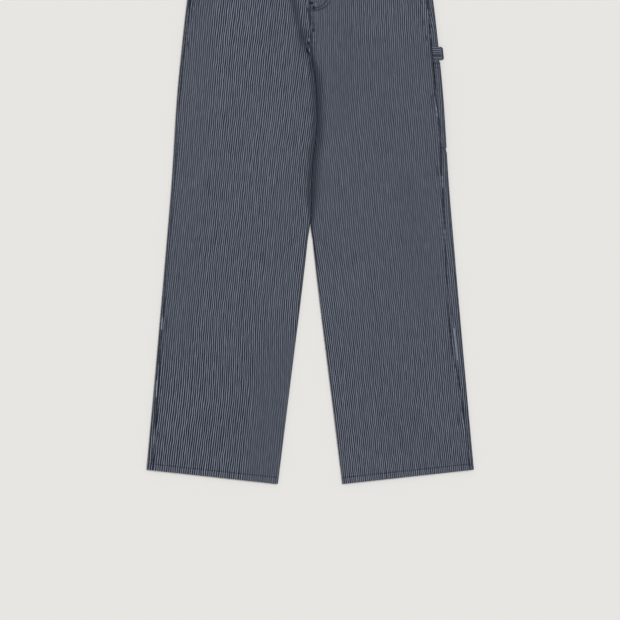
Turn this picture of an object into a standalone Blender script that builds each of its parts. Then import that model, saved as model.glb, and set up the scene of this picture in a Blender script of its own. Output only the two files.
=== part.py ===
"""Striped work trousers with a hammer loop and a tool pocket, laid flat with the front upwards.

Sizes are in millimetres until a corner is placed. x runs across the garment, with the wearer's left
leg on the + side, and "down" runs from the waist's top edge at the sides to the hems. The back lies on
the ground at height 0 and the front lies on it.
"""

import math
from collections import namedtuple

import bmesh
import bpy
from mathutils import Vector

MM = 0.001
RIGHT = -1
LEFT = 1

# Cloth and seams
CLOTH = 1.2
THICKEST = 3.0
SEAM_GAP = 0.4
LAYER_GAP = 0.4
HEM_DEPTH = 11.5
HEM_EXTRA = 0.8
SEAM_BULK_FROM = 6.0

# Waist
BAND_HEIGHT = 40.0
BAND_WALL = 2.4
BAND_STACK = 6.6
BAND_LAP = 9.0
BAND_UNDERLAP = 30.0
FRONT_DIP = 14.0
BACK_RISE = 16.0
DIP_FADES_AT = 200.0

# Fly
FLY_BOTTOM = 195.0
FLY_LAP = 4.0
FLY_UNDERLAP = 12.0
FLY_WIDTH = 38.0

# Legs
HEM_DOWN = 1065.9
HEM_LEAN = 27.2
LEAN_FROM = 300.0
ROLL_FROM = 262.0
ROLL_FULL = 305.0
FORK_GAP = 1.5
CREST_FROM_EDGE = 21.0
CREST_SPREAD = 12.0
CREST_RISE = 3.2

# Hip pockets
MOUTH_FROM_FOLD = 52.0
FACING_UNDERLAP = 14.0

# Tool pocket and hammer loop, on the outer side of the wearer's left leg
REACH_UNDER_LEG = 130.0
LIFT_FADES_BY = 148.0
POCKET_TOP = 292.0
POCKET_BOTTOM = 455.0
POCKET_LIFT = CLOTH + LAYER_GAP
LOOP_TOP = 265.0
LOOP_WIDTH = 24.0
LOOP_WALL = 1.8
LOOP_STANDS_OUT = 8.0
LOOP_LIFT = LOOP_WALL + LAYER_GAP

# Waist button
BUTTON_RADIUS = 8.5
SHANK_RADIUS = 1.5
BUTTONHOLE_LENGTH = 14.0

# Looks
COTTON_COLOUR = (0.083, 0.093, 0.123)
COTTON_ROUGHNESS = 0.9
BUTTON_COLOUR = (0.32, 0.30, 0.27)
BUTTON_ROUGHNESS = 0.35

# Where the side folds lie, either side of the middle
Outline = namedtuple("Outline", "down half_width")
OUTLINE = (
    Outline(0, 207.0),
    Outline(40, 212.0),
    Outline(175, 233.3),
    Outline(260, 243.0),
    Outline(365, 253.0),
    Outline(517, 262.6),
    Outline(669, 275.2),
    Outline(821, 288.4),
    Outline(973, 302.0),
    Outline(HEM_DOWN, 310.6),
)

# Where the two sides meet: the centre seam, then the touching thighs, then the gap between the legs
Meeting = namedtuple("Meeting", "down middle opening")
MEETING = (
    Meeting(-20, -3.0, 0.0),
    Meeting(175, -2.0, 0.0),
    Meeting(262, 0.5, 0.0),
    Meeting(289, 3.0, 0.0),
    Meeting(317, 8.0, 0.0),
    Meeting(350, 11.0, 0.0),
    Meeting(395, 12.6, 0.0),
    Meeting(430, 10.8, 0.0),
    Meeting(462, 6.8, 0.0),
    Meeting(496, 3.2, 0.0),
    Meeting(530, 2.0, 0.0),
    Meeting(566, 1.6, 0.0),
    Meeting(602, 0.4, 0.2),
    Meeting(631, 0.0, 4.2),
    Meeting(745, 0.0, 18.0),
    Meeting(897, 0.0, 37.0),
    Meeting(HEM_DOWN + HEM_LEAN, 0.0, 61.4),
)

# How far in from each side fold the side seam lies, on the upper side
SideSeam = namedtuple("SideSeam", "down right left")
SIDE_SEAM = (
    SideSeam(0, 7.0, 9.0),
    SideSeam(175, 5.0, 12.0),
    SideSeam(270, 4.5, 13.0),
    SideSeam(365, 4.5, 13.0),
    SideSeam(450, 4.5, 10.0),
    SideSeam(510, 4.5, 13.0),
    SideSeam(630, 4.5, 17.0),
    SideSeam(760, 5.0, 21.0),
    SideSeam(840, 6.0, 21.0),
    SideSeam(900, 8.0, 13.0),
    SideSeam(1030, 10.0, 15.0),
    SideSeam(HEM_DOWN, 10.0, 15.0),
)

# Where each hip pocket's slanting mouth runs into its side seam
MouthEnd = namedtuple("MouthEnd", "side down")
MOUTH_END = {end.side: end.down for end in (MouthEnd(RIGHT, 205.0), MouthEnd(LEFT, 184.0))}

# How high the upper surface lies at the side folds, in the middle of a leg and at the inner folds
Height = namedtuple("Height", "down fold_right fold_left middle inner_right inner_left")
HEIGHT = (
    Height(0, 6.0, 6.0, 6.0, 6.0, 6.0),
    Height(60, 6.0, 6.0, 6.0, 6.0, 6.0),
    Height(150, 5.3, 5.8, 5.7, 5.8, 5.8),
    Height(262, 5.0, 7.0, 5.6, 6.6, 6.6),
    Height(310, 5.0, 7.0, 5.6, 8.6, 4.8),
    Height(350, 5.0, 7.0, 5.5, 9.2, 4.2),
    Height(470, 5.0, 7.0, 5.4, 9.0, 4.2),
    Height(560, 5.0, 5.4, 5.3, 7.2, 4.4),
    Height(640, 5.0, 5.0, 5.2, 5.2, 4.8),
    Height(HEM_DOWN, 5.0, 5.0, 5.0, 5.0, 5.0),
)

# The largest soft troughs of the front: from one end to the other, bowed sideways at the middle
Fold = namedtuple("Fold", "x_from down_from x_to down_to bow half_width depth")
FOLDS = (
    Fold(-33, 150, -3, 276, -7, 8, 1.5),
    Fold(60, 215, 60, 330, 2, 10, 0.5),
    Fold(196, 240, 178, 380, -5, 13, 0.5),
    Fold(-168, 560, -160, 680, 3, 12, 0.5),
    Fold(-250, 690, -215, 800, 6, 14, 0.4),
    Fold(236, 800, 262, 940, -5, 12, 0.5),
    Fold(-232, 850, -236, 1000, 6, 14, 0.4),
    Fold(120, 740, 96, 880, 4, 16, 0.4),
)

# Where each row of a leg's panels starts at its side fold
ROWS = (
    *(BAND_HEIGHT + SEAM_GAP, 70, 105, 140, 163, 184, 191, 199, 205, 224, 243, 263, 277, 291, 305),
    *(325, 350, 376, 400, 425, 441, 457, 475, 500, 530, 566, 602, 640, 700, 765, 835, 905, 975),
    1030,
    *(HEM_DOWN - HEM_DEPTH - 1.0, HEM_DOWN - HEM_DEPTH, HEM_DOWN),
)

MIDDLE_DOWN = (HEM_DOWN + HEM_LEAN - BACK_RISE) / 2


def smooth(rows, column, down):
    """The column's value at this distance down, on a curve through the rows that never overshoots."""
    downs = [row.down for row in rows]
    values = [getattr(row, column) for row in rows]
    if down <= downs[0]:
        return values[0]
    if down >= downs[-1]:
        return values[-1]
    spans = [b - a for a, b in zip(downs, downs[1:])]
    slopes = [(b - a) / span for a, b, span in zip(values, values[1:], spans)]

    def tangent(i):
        if i == 0 or i == len(rows) - 1:
            return slopes[0] if i == 0 else slopes[-1]
        before, after = slopes[i - 1], slopes[i]
        return 0.0 if before * after <= 0 else 2 * before * after / (before + after)

    i = max(k for k in range(len(spans)) if downs[k] <= down)
    t = (down - downs[i]) / spans[i]
    return (
        values[i] * (1 + 2 * t) * (1 - t) ** 2
        + tangent(i) * spans[i] * t * (1 - t) ** 2
        + values[i + 1] * t * t * (3 - 2 * t)
        + tangent(i + 1) * spans[i] * t * t * (t - 1)
    )


def ease(start, end, value):
    """0 before start, 1 after end, and smooth between."""
    t = min(1.0, max(0.0, (value - start) / (end - start)))
    return t * t * (3 - 2 * t)


def window(start, full, full_to, end, value):
    """Rises from start to full, and falls from full_to to end."""
    return ease(start, full, value) * (1 - ease(full_to, end, value))


def half_width(down):
    return smooth(OUTLINE, "half_width", down)


def meeting_x(side, down):
    """Where this side's panels end at the centre seam or the inner fold."""
    middle = smooth(MEETING, "middle", down)
    return middle + side * (smooth(MEETING, "opening", down) + SEAM_GAP / 2)


def lean(down):
    """How much lower a row across the leg ends at its inner side than at its outer side."""
    return HEM_LEAN * max(0.0, (down - LEAN_FROM) / (HEM_DOWN - LEAN_FROM))


def row_width(side, down):
    return abs(meeting_x(side, down + lean(down)) - side * half_width(down))


def side_seam(side, down):
    return smooth(SIDE_SEAM, "right" if side == RIGHT else "left", down)


def fold_height(side, down):
    return smooth(HEIGHT, "fold_right" if side == RIGHT else "fold_left", down)


def inner_height(side, down):
    return smooth(HEIGHT, "inner_right" if side == RIGHT else "inner_left", down)


def roll(down):
    """0 where the panels lie flat up to the centre seam, 1 where they roll into the inner fold."""
    return ease(ROLL_FROM, ROLL_FULL, down)


def seam_gap_at_fold(down):
    """The gap along the inseam, wider where the cloth twists at the fork."""
    return SEAM_GAP + (FORK_GAP - SEAM_GAP) * window(ROLL_FROM, 290, 306, 350, down)


def fold_depth(x, down):
    """How deep the soft troughs lie here."""
    deep = 0.0
    for fold in FOLDS:
        along = Vector((fold.x_to - fold.x_from, fold.down_to - fold.down_from))
        here = Vector((x - fold.x_from, down - fold.down_from))
        t = here.dot(along) / along.length_squared
        if 0 < t < 1:
            sideways = (here.x * along.y - here.y * along.x) / along.length
            away = (sideways - fold.bow * math.sin(math.pi * t)) / fold.half_width
            deep += fold.depth * math.exp(-away * away) * math.sin(math.pi * t) ** 0.7
    return deep


def fly_lift(side, from_meeting, down):
    """The left front lies over the right one along the fly."""
    if side == RIGHT:
        return 0.0
    reach = 1 - ease(FLY_UNDERLAP + 4, FLY_WIDTH, from_meeting)
    return (CLOTH + LAYER_GAP) * reach * (1 - ease(FLY_BOTTOM + 8, FLY_BOTTOM + 30, down))


def hem_share(down):
    """1 in the turned-up hem, 0 above it."""
    return ease(HEM_DOWN - HEM_DEPTH - 1.0, HEM_DOWN - HEM_DEPTH, down)


def top_height(side, from_fold, down):
    """The height of the front's upper surface."""
    width = row_width(side, down)
    from_meeting = width - from_fold
    start = side * half_width(down)
    x = start + (meeting_x(side, down) - start) * from_fold / width
    middle = smooth(HEIGHT, "middle", down)
    at_fold = (fold_height(side, down) - middle) * (1 - ease(5, 45, from_fold))
    inner = inner_height(side, down)
    reach = 62 if side == RIGHT else 24
    at_inner = (inner - middle) * (1 - ease(inner / 2, reach, max(0.0, from_meeting)))
    crest = 0.0
    if side == LEFT:
        away = (from_meeting - CREST_FROM_EDGE) / CREST_SPREAD
        crest = CREST_RISE * math.exp(-away * away) * window(250, 340, 470, 610, down)
    clear_of_edges = ease(4, 16, from_fold)
    height = middle + at_fold + at_inner + crest - fold_depth(x, down) * clear_of_edges
    return height + fly_lift(side, from_meeting, down) + 0.6 * hem_share(down)


def wall_at(height, down):
    """The wall is thicker where seams are bulky, so that the hollow under it stays shallow."""
    bulk = max(0.0, (height - SEAM_BULK_FROM) / 2)
    return min(THICKEST, CLOTH + max(bulk, HEM_EXTRA * hem_share(down)))


def underlay(side, from_fold, down):
    """How far the back lies off the ground, over the tool pocket and the hammer loop."""
    if side == RIGHT:
        return 0.0
    loop_end = LOOP_TOP + LOOP_WIDTH
    over_loop = window(LOOP_TOP - 22, LOOP_TOP - 2, loop_end + 1, loop_end + 14, down)
    over_pocket = window(
        POCKET_TOP - 14, POCKET_TOP - 2, POCKET_BOTTOM + 2, POCKET_BOTTOM + 20, down
    )
    lift = max(LOOP_LIFT * over_loop, POCKET_LIFT * over_pocket)
    return lift * (1 - ease(REACH_UNDER_LEG + 2, LIFT_FADES_BY, from_fold))


def inset(side, down):
    """How far the side fold is drawn in under the tool pocket, which lies flush with the outline."""
    if side == RIGHT:
        return 0.0
    return POCKET_LIFT * window(
        POCKET_TOP - 12, POCKET_TOP - 1, POCKET_BOTTOM + 1, POCKET_BOTTOM + 12, down
    )


def waist_shift(x, down, amount):
    """The front waist dips and the back waist rises towards the middle."""
    across = 1 - (x / half_width(down)) ** 2
    return amount * max(0.0, across) * (1 - ease(BAND_HEIGHT, DIP_FADES_AT, down))


def corner(side, from_fold, down, height, shift):
    """A corner of the mesh in metres, on the row that starts at this distance down."""
    start = side * half_width(down)
    end = meeting_x(side, down + lean(down))
    part = from_fold / row_width(side, down)
    x = start + (end - start) * part
    low = down + lean(down) * part + waist_shift(x, down, shift)
    return Vector((x * MM, (MIDDLE_DOWN - low) * MM, height * MM))


def crowded(count):
    """Shares from 0 to 1 that crowd towards both ends."""
    return [(1 - math.cos(math.pi * i / count)) / 2 for i in range(count + 1)]


def even(count):
    return [i / count for i in range(count + 1)]


def quarter(count):
    """A quarter turn and a short straight end, as (sine, cosine, straight, share of the way)."""
    steps = [(math.pi / 2 * i / count, i / (count + 1)) for i in range(1, count + 1)]
    turn = [(math.sin(angle), math.cos(angle), 0.0, share) for angle, share in steps]
    return turn + [(1.0, 0.0, 1.0, 1.0)]


def front_edge(side, down):
    """Where the front panel starts: at the pocket mouth, and below it at the side seam."""
    seam = side_seam(side, down) + SEAM_GAP / 2
    end = MOUTH_END[side]
    if down >= end:
        return seam
    share = (end - down) / (end - BAND_HEIGHT)
    return seam + (MOUTH_FROM_FOLD - seam) * share


def fly_reach(side, down):
    """How far the front panel passes the centre seam along the fly."""
    over = 1 - ease(FLY_BOTTOM - 4, FLY_BOTTOM + 4, down)
    return (FLY_LAP if side == LEFT else FLY_UNDERLAP) * over


def front_section(side, down):
    """The front panel's upper surface on one row, from its outer edge to the inseam."""
    width = row_width(side, down)
    radius = inner_height(side, down) / 2
    start = front_edge(side, down)
    stop = width - radius + fly_reach(side, down)
    points = []

    def add(from_fold):
        height = top_height(side, from_fold, down)
        stack = height - fly_lift(side, width - from_fold, down)
        points.append((from_fold, height, wall_at(stack, down)))

    for share in crowded(12):
        add(start + (stop - start) * share)
    flat_height = points[-1][1]
    turned = roll(down)
    low_end = radius + seam_gap_at_fold(down) / 2
    for sine, cosine, straight, share in quarter(4):
        flat = stop + radius * share
        round_height = flat_height - (flat_height - low_end - 0.3) * (1 - cosine) - 0.3 * straight
        from_fold = flat + (stop + radius * sine - flat) * turned
        height = flat_height + (round_height - flat_height) * turned
        if turned == 0.0:
            height = top_height(side, from_fold, down)
        points.append((from_fold, height, CLOTH))
    return points


def back_section(side, down):
    """The back panel's outer surface on one row: from the inseam, under the leg and round its side fold."""
    width = row_width(side, down)
    radius = inner_height(side, down) / 2
    stop = width - radius
    turned = roll(down)
    points = []
    high_end = radius - seam_gap_at_fold(down) / 2
    for sine, cosine, straight, share in reversed(quarter(4)):
        flat = stop + radius * share
        from_fold = flat + (stop + radius * sine - flat) * turned
        height = turned * ((high_end - 0.3) * (1 - cosine) + 0.3 * straight)
        points.append((from_fold, height, CLOTH))
    drawn_in = inset(side, down)
    low = underlay(side, drawn_in, down)
    high = fold_height(side, down)
    fold = (high - low) / 2
    fold_wall = min(wall_at(high - low, down), fold - 0.5)
    under_leg = [stop + (LIFT_FADES_BY - stop) * share for share in even(2)]
    near_fold = REACH_UNDER_LEG + 2
    under_leg += [near_fold + (drawn_in + fold - near_fold) * share for share in even(3)]
    for from_fold in under_leg:
        height = underlay(side, from_fold, down)
        stack = top_height(side, from_fold, down) - height - fly_lift(side, width - from_fold, down)
        points.append((from_fold, height, wall_at(stack, down)))
    for share in even(6)[1:]:
        angle = math.pi * share
        from_fold = drawn_in + fold * (1 - math.sin(angle))
        points.append((from_fold, low + fold * (1 - math.cos(angle)), fold_wall))
    seam = side_seam(side, down) - SEAM_GAP / 2
    for share in even(2)[1:]:
        from_fold = drawn_in + fold + (seam - drawn_in - fold) * share
        points.append((from_fold, top_height(side, from_fold, down), fold_wall))
    return points


def facing_section(side, down):
    """The hip facing's upper surface, from the side seam to where it ends under the front panel."""
    start = side_seam(side, down) + SEAM_GAP / 2
    mouth = front_edge(side, down)
    stop = mouth + FACING_UNDERLAP
    closing = 1 - ease(4, 20, mouth - start)
    points = []
    for share in even(7):
        from_fold = start + (stop - start) * share
        tucked = ease(start, start + (mouth - start) * 0.6 + 0.1, from_fold)
        drop = (CLOTH + LAYER_GAP) * max(tucked, closing)
        points.append((from_fold, top_height(side, from_fold, down) - drop, CLOTH))
    return points


def band_section(side, down):
    """A front band's outer surface, from the side seam to its end at the centre front."""
    width = row_width(side, down)
    start = side_seam(side, down) + SEAM_GAP / 2
    stop = width + (BAND_LAP if side == LEFT else BAND_UNDERLAP)
    points = []
    for share in even(16):
        from_fold = start + (stop - start) * share
        height = BAND_STACK
        if side == LEFT:
            under = 1 - ease(BAND_UNDERLAP + 4, BAND_UNDERLAP + 26, width - from_fold)
            height += (BAND_WALL + LAYER_GAP) * under
        points.append((from_fold, height, BAND_WALL))
    return points


def band_back_half(side, down):
    """Half of the back band's outer surface, from the centre back round the side fold to the side seam."""
    width = row_width(side, down) + SEAM_GAP / 2
    radius = BAND_STACK / 2
    points = [(width + (radius - width) * share, 0.0, BAND_WALL) for share in even(6)]
    for share in even(6)[1:]:
        angle = math.pi * share
        from_fold = radius * (1 - math.sin(angle))
        points.append((from_fold, radius * (1 - math.cos(angle)), BAND_WALL))
    points.append((side_seam(side, down) - SEAM_GAP / 2, BAND_STACK, BAND_WALL))
    return points


def pocket_section(side, down):
    """The tool pocket's outer surface, from the side seam round the fold and under the leg."""
    high = fold_height(side, down) + POCKET_LIFT
    radius = high / 2
    seam = side_seam(side, down) - SEAM_GAP / 2
    points = [(seam + (radius - seam) * share, high, CLOTH) for share in even(2)]
    for share in even(6)[1:]:
        angle = math.pi * share
        points.append((radius * (1 - math.sin(angle)), radius * (1 + math.cos(angle)), CLOTH))
    points += [(radius + (REACH_UNDER_LEG - radius) * share, 0.0, CLOTH) for share in even(4)[1:]]
    return points


def loop_section(side, down):
    """The hammer loop's outer surface: out from the side seam, folded back and under the leg."""
    high = fold_height(side, LOOP_TOP + LOOP_WIDTH / 2) + LAYER_GAP + LOOP_WALL
    tip = 2.4
    seam = side_seam(side, down) - SEAM_GAP / 2
    points = [(seam, high), (seam / 2, high), (2.2, high), (-0.4, high - 0.8), (-2.9, high - 2.4)]
    centre = tip - LOOP_STANDS_OUT
    for share in even(6):
        angle = math.radians(35) + (math.pi - math.radians(35)) * share
        points.append((centre - tip * math.sin(angle), tip * (1 + math.cos(angle))))
    points += [(centre + (REACH_UNDER_LEG - centre) * share, 0.0) for share in even(4)[1:]]
    return [(from_fold, height, LOOP_WALL) for from_fold, height in points]


def finish(part, colour, roughness, metallic):
    """Gives the part a material of its own."""
    made = bpy.data.materials.new(part.name)
    made.use_nodes = True
    shader = made.node_tree.nodes["Principled BSDF"]
    shader.inputs["Base Color"].default_value = (*colour, 1.0)
    shader.inputs["Roughness"].default_value = roughness
    shader.inputs["Metallic"].default_value = metallic
    part.data.materials.append(made)


def surface(name, sections, outward, collection):
    """A wall of cloth: one grid row for each section, thickened inwards by each point's own wall.

    sections holds rows of (corner, wall). outward is which way the middle of the surface faces.
    """
    rows, columns = len(sections) - 1, len(sections[0]) - 1
    mesh = bpy.data.meshes.new(name)
    shape = bmesh.new()
    bmesh.ops.create_grid(shape, x_segments=columns, y_segments=rows, size=0.5)
    walls = {}
    for vertex in shape.verts:
        row = round((vertex.co.y + 0.5) * rows)
        column = round((vertex.co.x + 0.5) * columns)
        vertex.co, walls[vertex.index] = sections[row][column]
    shape.normal_update()
    facing = sum((face.normal * face.calc_area() for face in shape.faces), Vector())
    if facing.z * outward < 0:
        bmesh.ops.reverse_faces(shape, faces=shape.faces)
    shape.to_mesh(mesh)
    shape.free()
    mesh.shade_smooth()
    part = bpy.data.objects.new(name, mesh)
    collection.objects.link(part)
    finish(part, COTTON_COLOUR, COTTON_ROUGHNESS, 0.0)
    thickest = max(walls.values())
    thinnest = min(walls.values())
    wall = part.modifiers.new("wall", "SOLIDIFY")
    wall.thickness = thickest * MM
    wall.offset = -1
    wall.use_even_offset = True
    wall.use_quality_normals = True
    if thickest > thinnest:
        group = part.vertex_groups.new(name="wall")
        for index, thick in walls.items():
            group.add([index], (thick - thinnest) / (thickest - thinnest), "REPLACE")
        wall.vertex_group = group.name
        wall.thickness_vertex_group = thinnest / thickest
    return part


def panel(name, section, side, downs, outward, shift, collection):
    """A piece of cloth through its section on each row."""
    sections = [
        [(corner(side, f, down, height, shift), thick) for f, height, thick in section(side, down)]
        for down in downs
    ]
    return surface(name, sections, outward, collection)


def straight_panel(name, section, side, tops, outward, collection):
    """A pocket or loop: its section is worked out at its middle and carried straight down."""
    middle = (tops[0] + tops[-1]) / 2
    sections = []
    for down in tops:
        level = section(side, down if section is pocket_section else middle)
        sections.append([(corner(side, f, down, height, 0.0), thick) for f, height, thick in level])
    return surface(name, sections, outward, collection)


def round_edges(part, width):
    edges = part.modifiers.new("folded edges", "BEVEL")
    edges.width = width * MM
    edges.segments = 2
    edges.limit_method = "ANGLE"
    edges.angle_limit = math.radians(50)
    return part


def waist_button(collection):
    """A turned metal button: a dished head on a shank that passes the buttonhole."""
    head = BAND_STACK + BAND_WALL + 2 * LAYER_GAP
    foot = BAND_STACK + LAYER_GAP - head
    profile = (
        (0.0, 2.4),
        (4.6, 2.2),
        (6.2, 1.8),
        (7.2, 2.5),
        (8.2, 2.2),
        (BUTTON_RADIUS, 1.2),
        (8.0, 0.2),
        (SHANK_RADIUS + 0.6, 0.0),
        (SHANK_RADIUS, -0.6),
        (SHANK_RADIUS, foot),
        (0.0, foot),
    )
    mesh = bpy.data.meshes.new("waist_button")
    corners = [(radius * MM, 0.0, height * MM) for radius, height in profile]
    mesh.from_pydata(corners, [(i, i + 1) for i in range(len(corners) - 1)], [])
    part = bpy.data.objects.new("waist_button", mesh)
    collection.objects.link(part)
    finish(part, BUTTON_COLOUR, BUTTON_ROUGHNESS, 1.0)
    turn = part.modifiers.new("turn", "SCREW")
    turn.steps = turn.render_steps = 24
    turn.use_merge_vertices = True
    turn.merge_threshold = 0.00001
    middle = smooth(MEETING, "middle", 0)
    low = BAND_HEIGHT / 2 + FRONT_DIP
    part.location = (middle * MM, (MIDDLE_DOWN - low) * MM, head * MM)
    return part


def buttonhole(band, at, cutters):
    """Cuts a slot with round ends through the band, from the shank away from the band's end."""
    radius = SHANK_RADIUS + 0.35
    mesh = bpy.data.meshes.new("buttonhole")
    shape = bmesh.new()
    bmesh.ops.create_cone(
        shape,
        cap_ends=True,
        segments=16,
        radius1=radius * MM,
        radius2=radius * MM,
        depth=4 * BAND_WALL * MM,
    )
    for vertex in shape.verts:
        if vertex.co.x > 0.01 * MM:
            vertex.co.x += (BUTTONHOLE_LENGTH - 2 * radius) * MM
    shape.to_mesh(mesh)
    shape.free()
    cutter = bpy.data.objects.new("buttonhole", mesh)
    cutters.objects.link(cutter)
    cutter.location = at
    cutter.hide_render = True
    cutter.display_type = "WIRE"
    cut = band.modifiers.new("buttonhole", "BOOLEAN")
    cut.operation = "DIFFERENCE"
    cut.object = cutter


def back_band(collection):
    """The back band runs in one piece from side seam to side seam."""
    sections = []
    for share in even(2):
        down = BAND_HEIGHT * share
        right = [
            (corner(RIGHT, f, down, height, -BACK_RISE), thick)
            for f, height, thick in band_back_half(RIGHT, down)
        ]
        left = [
            (corner(LEFT, f, down, height, -BACK_RISE), thick)
            for f, height, thick in band_back_half(LEFT, down)
        ]
        sections.append(right[::-1] + left[1:])
    return surface("waistband_back", sections, -1, collection)


def main():
    for old in list(bpy.data.objects):
        bpy.data.objects.remove(old)
    garment = bpy.data.collections.new("work_trousers")
    cutters = bpy.data.collections.new("cutters")
    for made in (garment, cutters):
        bpy.context.scene.collection.children.link(made)
    for side, word in ((RIGHT, "right"), (LEFT, "left")):
        panel(f"front_{word}", front_section, side, ROWS, 1, FRONT_DIP, garment)
        panel(f"back_{word}", back_section, side, ROWS, -1, -BACK_RISE, garment)
        mouth_rows = [down for down in ROWS if down <= MOUTH_END[side]]
        panel(
            f"hip_facing_{word}", facing_section, side, mouth_rows, 1, FRONT_DIP, garment
        )
        band_rows = [BAND_HEIGHT * t for t in even(2)]
        band = panel(
            f"waistband_front_{word}", band_section, side, band_rows, 1, FRONT_DIP, garment
        )
        round_edges(band, 0.7)
    round_edges(back_band(garment), 0.7)

    pocket_rows = [POCKET_TOP + (POCKET_BOTTOM - POCKET_TOP) * t for t in even(6)]
    straight_panel("tool_pocket", pocket_section, LEFT, pocket_rows, -1, garment)
    loop_rows = [LOOP_TOP + LOOP_WIDTH * t for t in even(1)]
    straight_panel("hammer_loop", loop_section, LEFT, loop_rows, -1, garment)

    button = waist_button(garment)
    buttonhole(bpy.data.objects["waistband_front_left"], button.location, cutters)


main()
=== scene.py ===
# %% [markdown]
# # Striped work trousers, laid flat
# These are wide work trousers in a fine navy and off-white stripe, with a hammer loop and a tool pocket
# on the wearer's left leg. They lie on their back, and the camera looks straight down at the front. The
# packed solids give every piece its place. This script makes each piece of cloth again as a thin,
# finely divided sheet on the same form. It adds what the solids leave out: creases, puckers, stitches
# and weave.

# %% Load the solids
import math
from collections import namedtuple

import bmesh
import bpy
import numpy as np
from mathutils import Matrix, Vector


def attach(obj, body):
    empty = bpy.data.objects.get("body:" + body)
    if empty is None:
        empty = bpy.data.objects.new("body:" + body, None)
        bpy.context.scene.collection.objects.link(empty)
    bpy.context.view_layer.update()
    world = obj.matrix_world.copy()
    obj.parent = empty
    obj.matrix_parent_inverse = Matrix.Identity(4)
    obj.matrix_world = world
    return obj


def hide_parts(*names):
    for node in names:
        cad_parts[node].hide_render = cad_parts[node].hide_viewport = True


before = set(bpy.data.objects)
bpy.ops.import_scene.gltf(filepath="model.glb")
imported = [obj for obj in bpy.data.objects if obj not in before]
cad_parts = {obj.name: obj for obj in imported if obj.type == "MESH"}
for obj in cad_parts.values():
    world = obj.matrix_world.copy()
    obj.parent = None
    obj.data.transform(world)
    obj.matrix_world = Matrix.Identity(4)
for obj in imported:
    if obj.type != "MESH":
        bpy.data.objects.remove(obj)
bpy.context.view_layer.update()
print("nodes:", ", ".join(sorted(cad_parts)))

# %% [markdown]
# ## Meshes and objects
# A shape is built as a bmesh, because its operators work there. It then becomes a mesh, and an object
# shows the mesh. Every piece here goes the same way, so three small functions do it.

# %% Helpers for meshes and objects
MM = 0.001


def mesh_of(shape, name):
    """A mesh of a bmesh, which is let go."""
    mesh = bpy.data.meshes.new(name)
    shape.to_mesh(mesh)
    shape.free()
    return mesh


def placed(name, data):
    """An object in the scene, at the origin."""
    made = bpy.data.objects.new(name, data)
    bpy.context.scene.collection.objects.link(made)
    return made


def carried(name, mesh):
    """A piece of the garment. All of it is one body, because cloth has no joints."""
    piece = placed(name, mesh)
    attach(piece, "root")
    return piece


print("one unit of the tables is", MM, "m")

# %% [markdown]
# ## The camera, the floor and the light
# A picture taken from straight above shows a flat garment without leaning edges if the lens is long and
# far away. The waist lies above the picture's top edge, so the camera aims below the middle of the
# garment. The light is soft: an even surround, and one large lamp high above and to one side, so that
# folds have a lit and a dark side while the garment throws hardly any shadow on the floor.

# %% Camera
PICTURE_WIDTH = 1178.0
CAMERA_HEIGHT = 6000.0
LOOKS_AT = (-0.7, -224.3)
SENSOR = 36.0

lens = bpy.data.cameras.new("camera")
lens.type = "PERSP"
lens.sensor_width = SENSOR
lens.lens = SENSOR * CAMERA_HEIGHT / PICTURE_WIDTH
lens.clip_end = 100.0
camera = placed("camera", lens)
camera.location = (LOOKS_AT[0] * MM, LOOKS_AT[1] * MM, CAMERA_HEIGHT * MM)
bpy.context.scene.camera = camera
print(f"lens {lens.lens:.0f} mm, {PICTURE_WIDTH:.0f} mm across the picture")

# %% Floor and light
FLOOR_COLOUR = (0.80, 0.79, 0.76)
FLOOR_DROP = 0.0004
FLOOR_HALF = 8.0
SURROUND = 0.385
KEY_STRENGTH = 2.16
KEY_FROM = (0.50, 0.28, 1.15)
KEY_SOFTNESS = math.radians(30)

floor_shape = bmesh.new()
bmesh.ops.create_grid(floor_shape, x_segments=1, y_segments=1, size=FLOOR_HALF)
bmesh.ops.translate(floor_shape, verts=floor_shape.verts, vec=(0.0, 0.0, -FLOOR_DROP))
floor = placed("floor", mesh_of(floor_shape, "floor"))

bpy.context.scene.view_settings.view_transform = "Standard"
surround = bpy.data.worlds.new("surround")
surround.use_nodes = True
background = surround.node_tree.nodes["Background"]
background.inputs["Color"].default_value = (1.0, 1.0, 1.0, 1.0)
background.inputs["Strength"].default_value = SURROUND
bpy.context.scene.world = surround

key = bpy.data.lights.new("key", "SUN")
key.energy = KEY_STRENGTH
key.angle = KEY_SOFTNESS
key_lamp = placed("key", key)
key_lamp.location = KEY_FROM
key_lamp.rotation_euler = (-Vector(KEY_FROM)).to_track_quat("-Z", "Y").to_euler()
print("key light from", KEY_FROM)

# %% [markdown]
# ## The sizes of the garment
# All sizes are in millimetres. x runs across the garment, "down" runs from the waist's top edge at the
# sides to the hems, and "from the fold" runs inwards from a leg's outer fold. The tables are those of
# the solids, so that every sheet lies on its solid. Two follow the real garment a little more closely:
# the left side seam comes nearer to the fold at the hem, and the gap between the legs opens a little
# sooner. A smooth curve runs through each column and never overshoots.

# %% Sizes
RIGHT = -1
LEFT = 1
SIDES = ((RIGHT, "right"), (LEFT, "left"))

CLOTH = 1.2
SEAM_GAP = 0.4
LAYER_GAP = 0.4
HEM_DEPTH = 11.5
HEM_DOWN = 1065.9
HEM_LEAN = 27.2
LEAN_FROM = 300.0

BAND_HEIGHT = 40.0
BAND_WALL = 2.4
BAND_STACK = 6.6
BAND_LAP = 9.0
BAND_UNDERLAP = 30.0
FRONT_DIP = 14.0
BACK_RISE = 16.0
DIP_FADES_AT = 200.0

FLY_BOTTOM = 195.0
FLY_LAP = 4.0
FLY_UNDERLAP = 12.0
FLY_WIDTH = 38.0

ROLL_FROM = 262.0
ROLL_FULL = 305.0
FORK_GAP = 1.5
CREST_FROM_EDGE = 21.0
CREST_SPREAD = 12.0
CREST_RISE = 3.2

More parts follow.
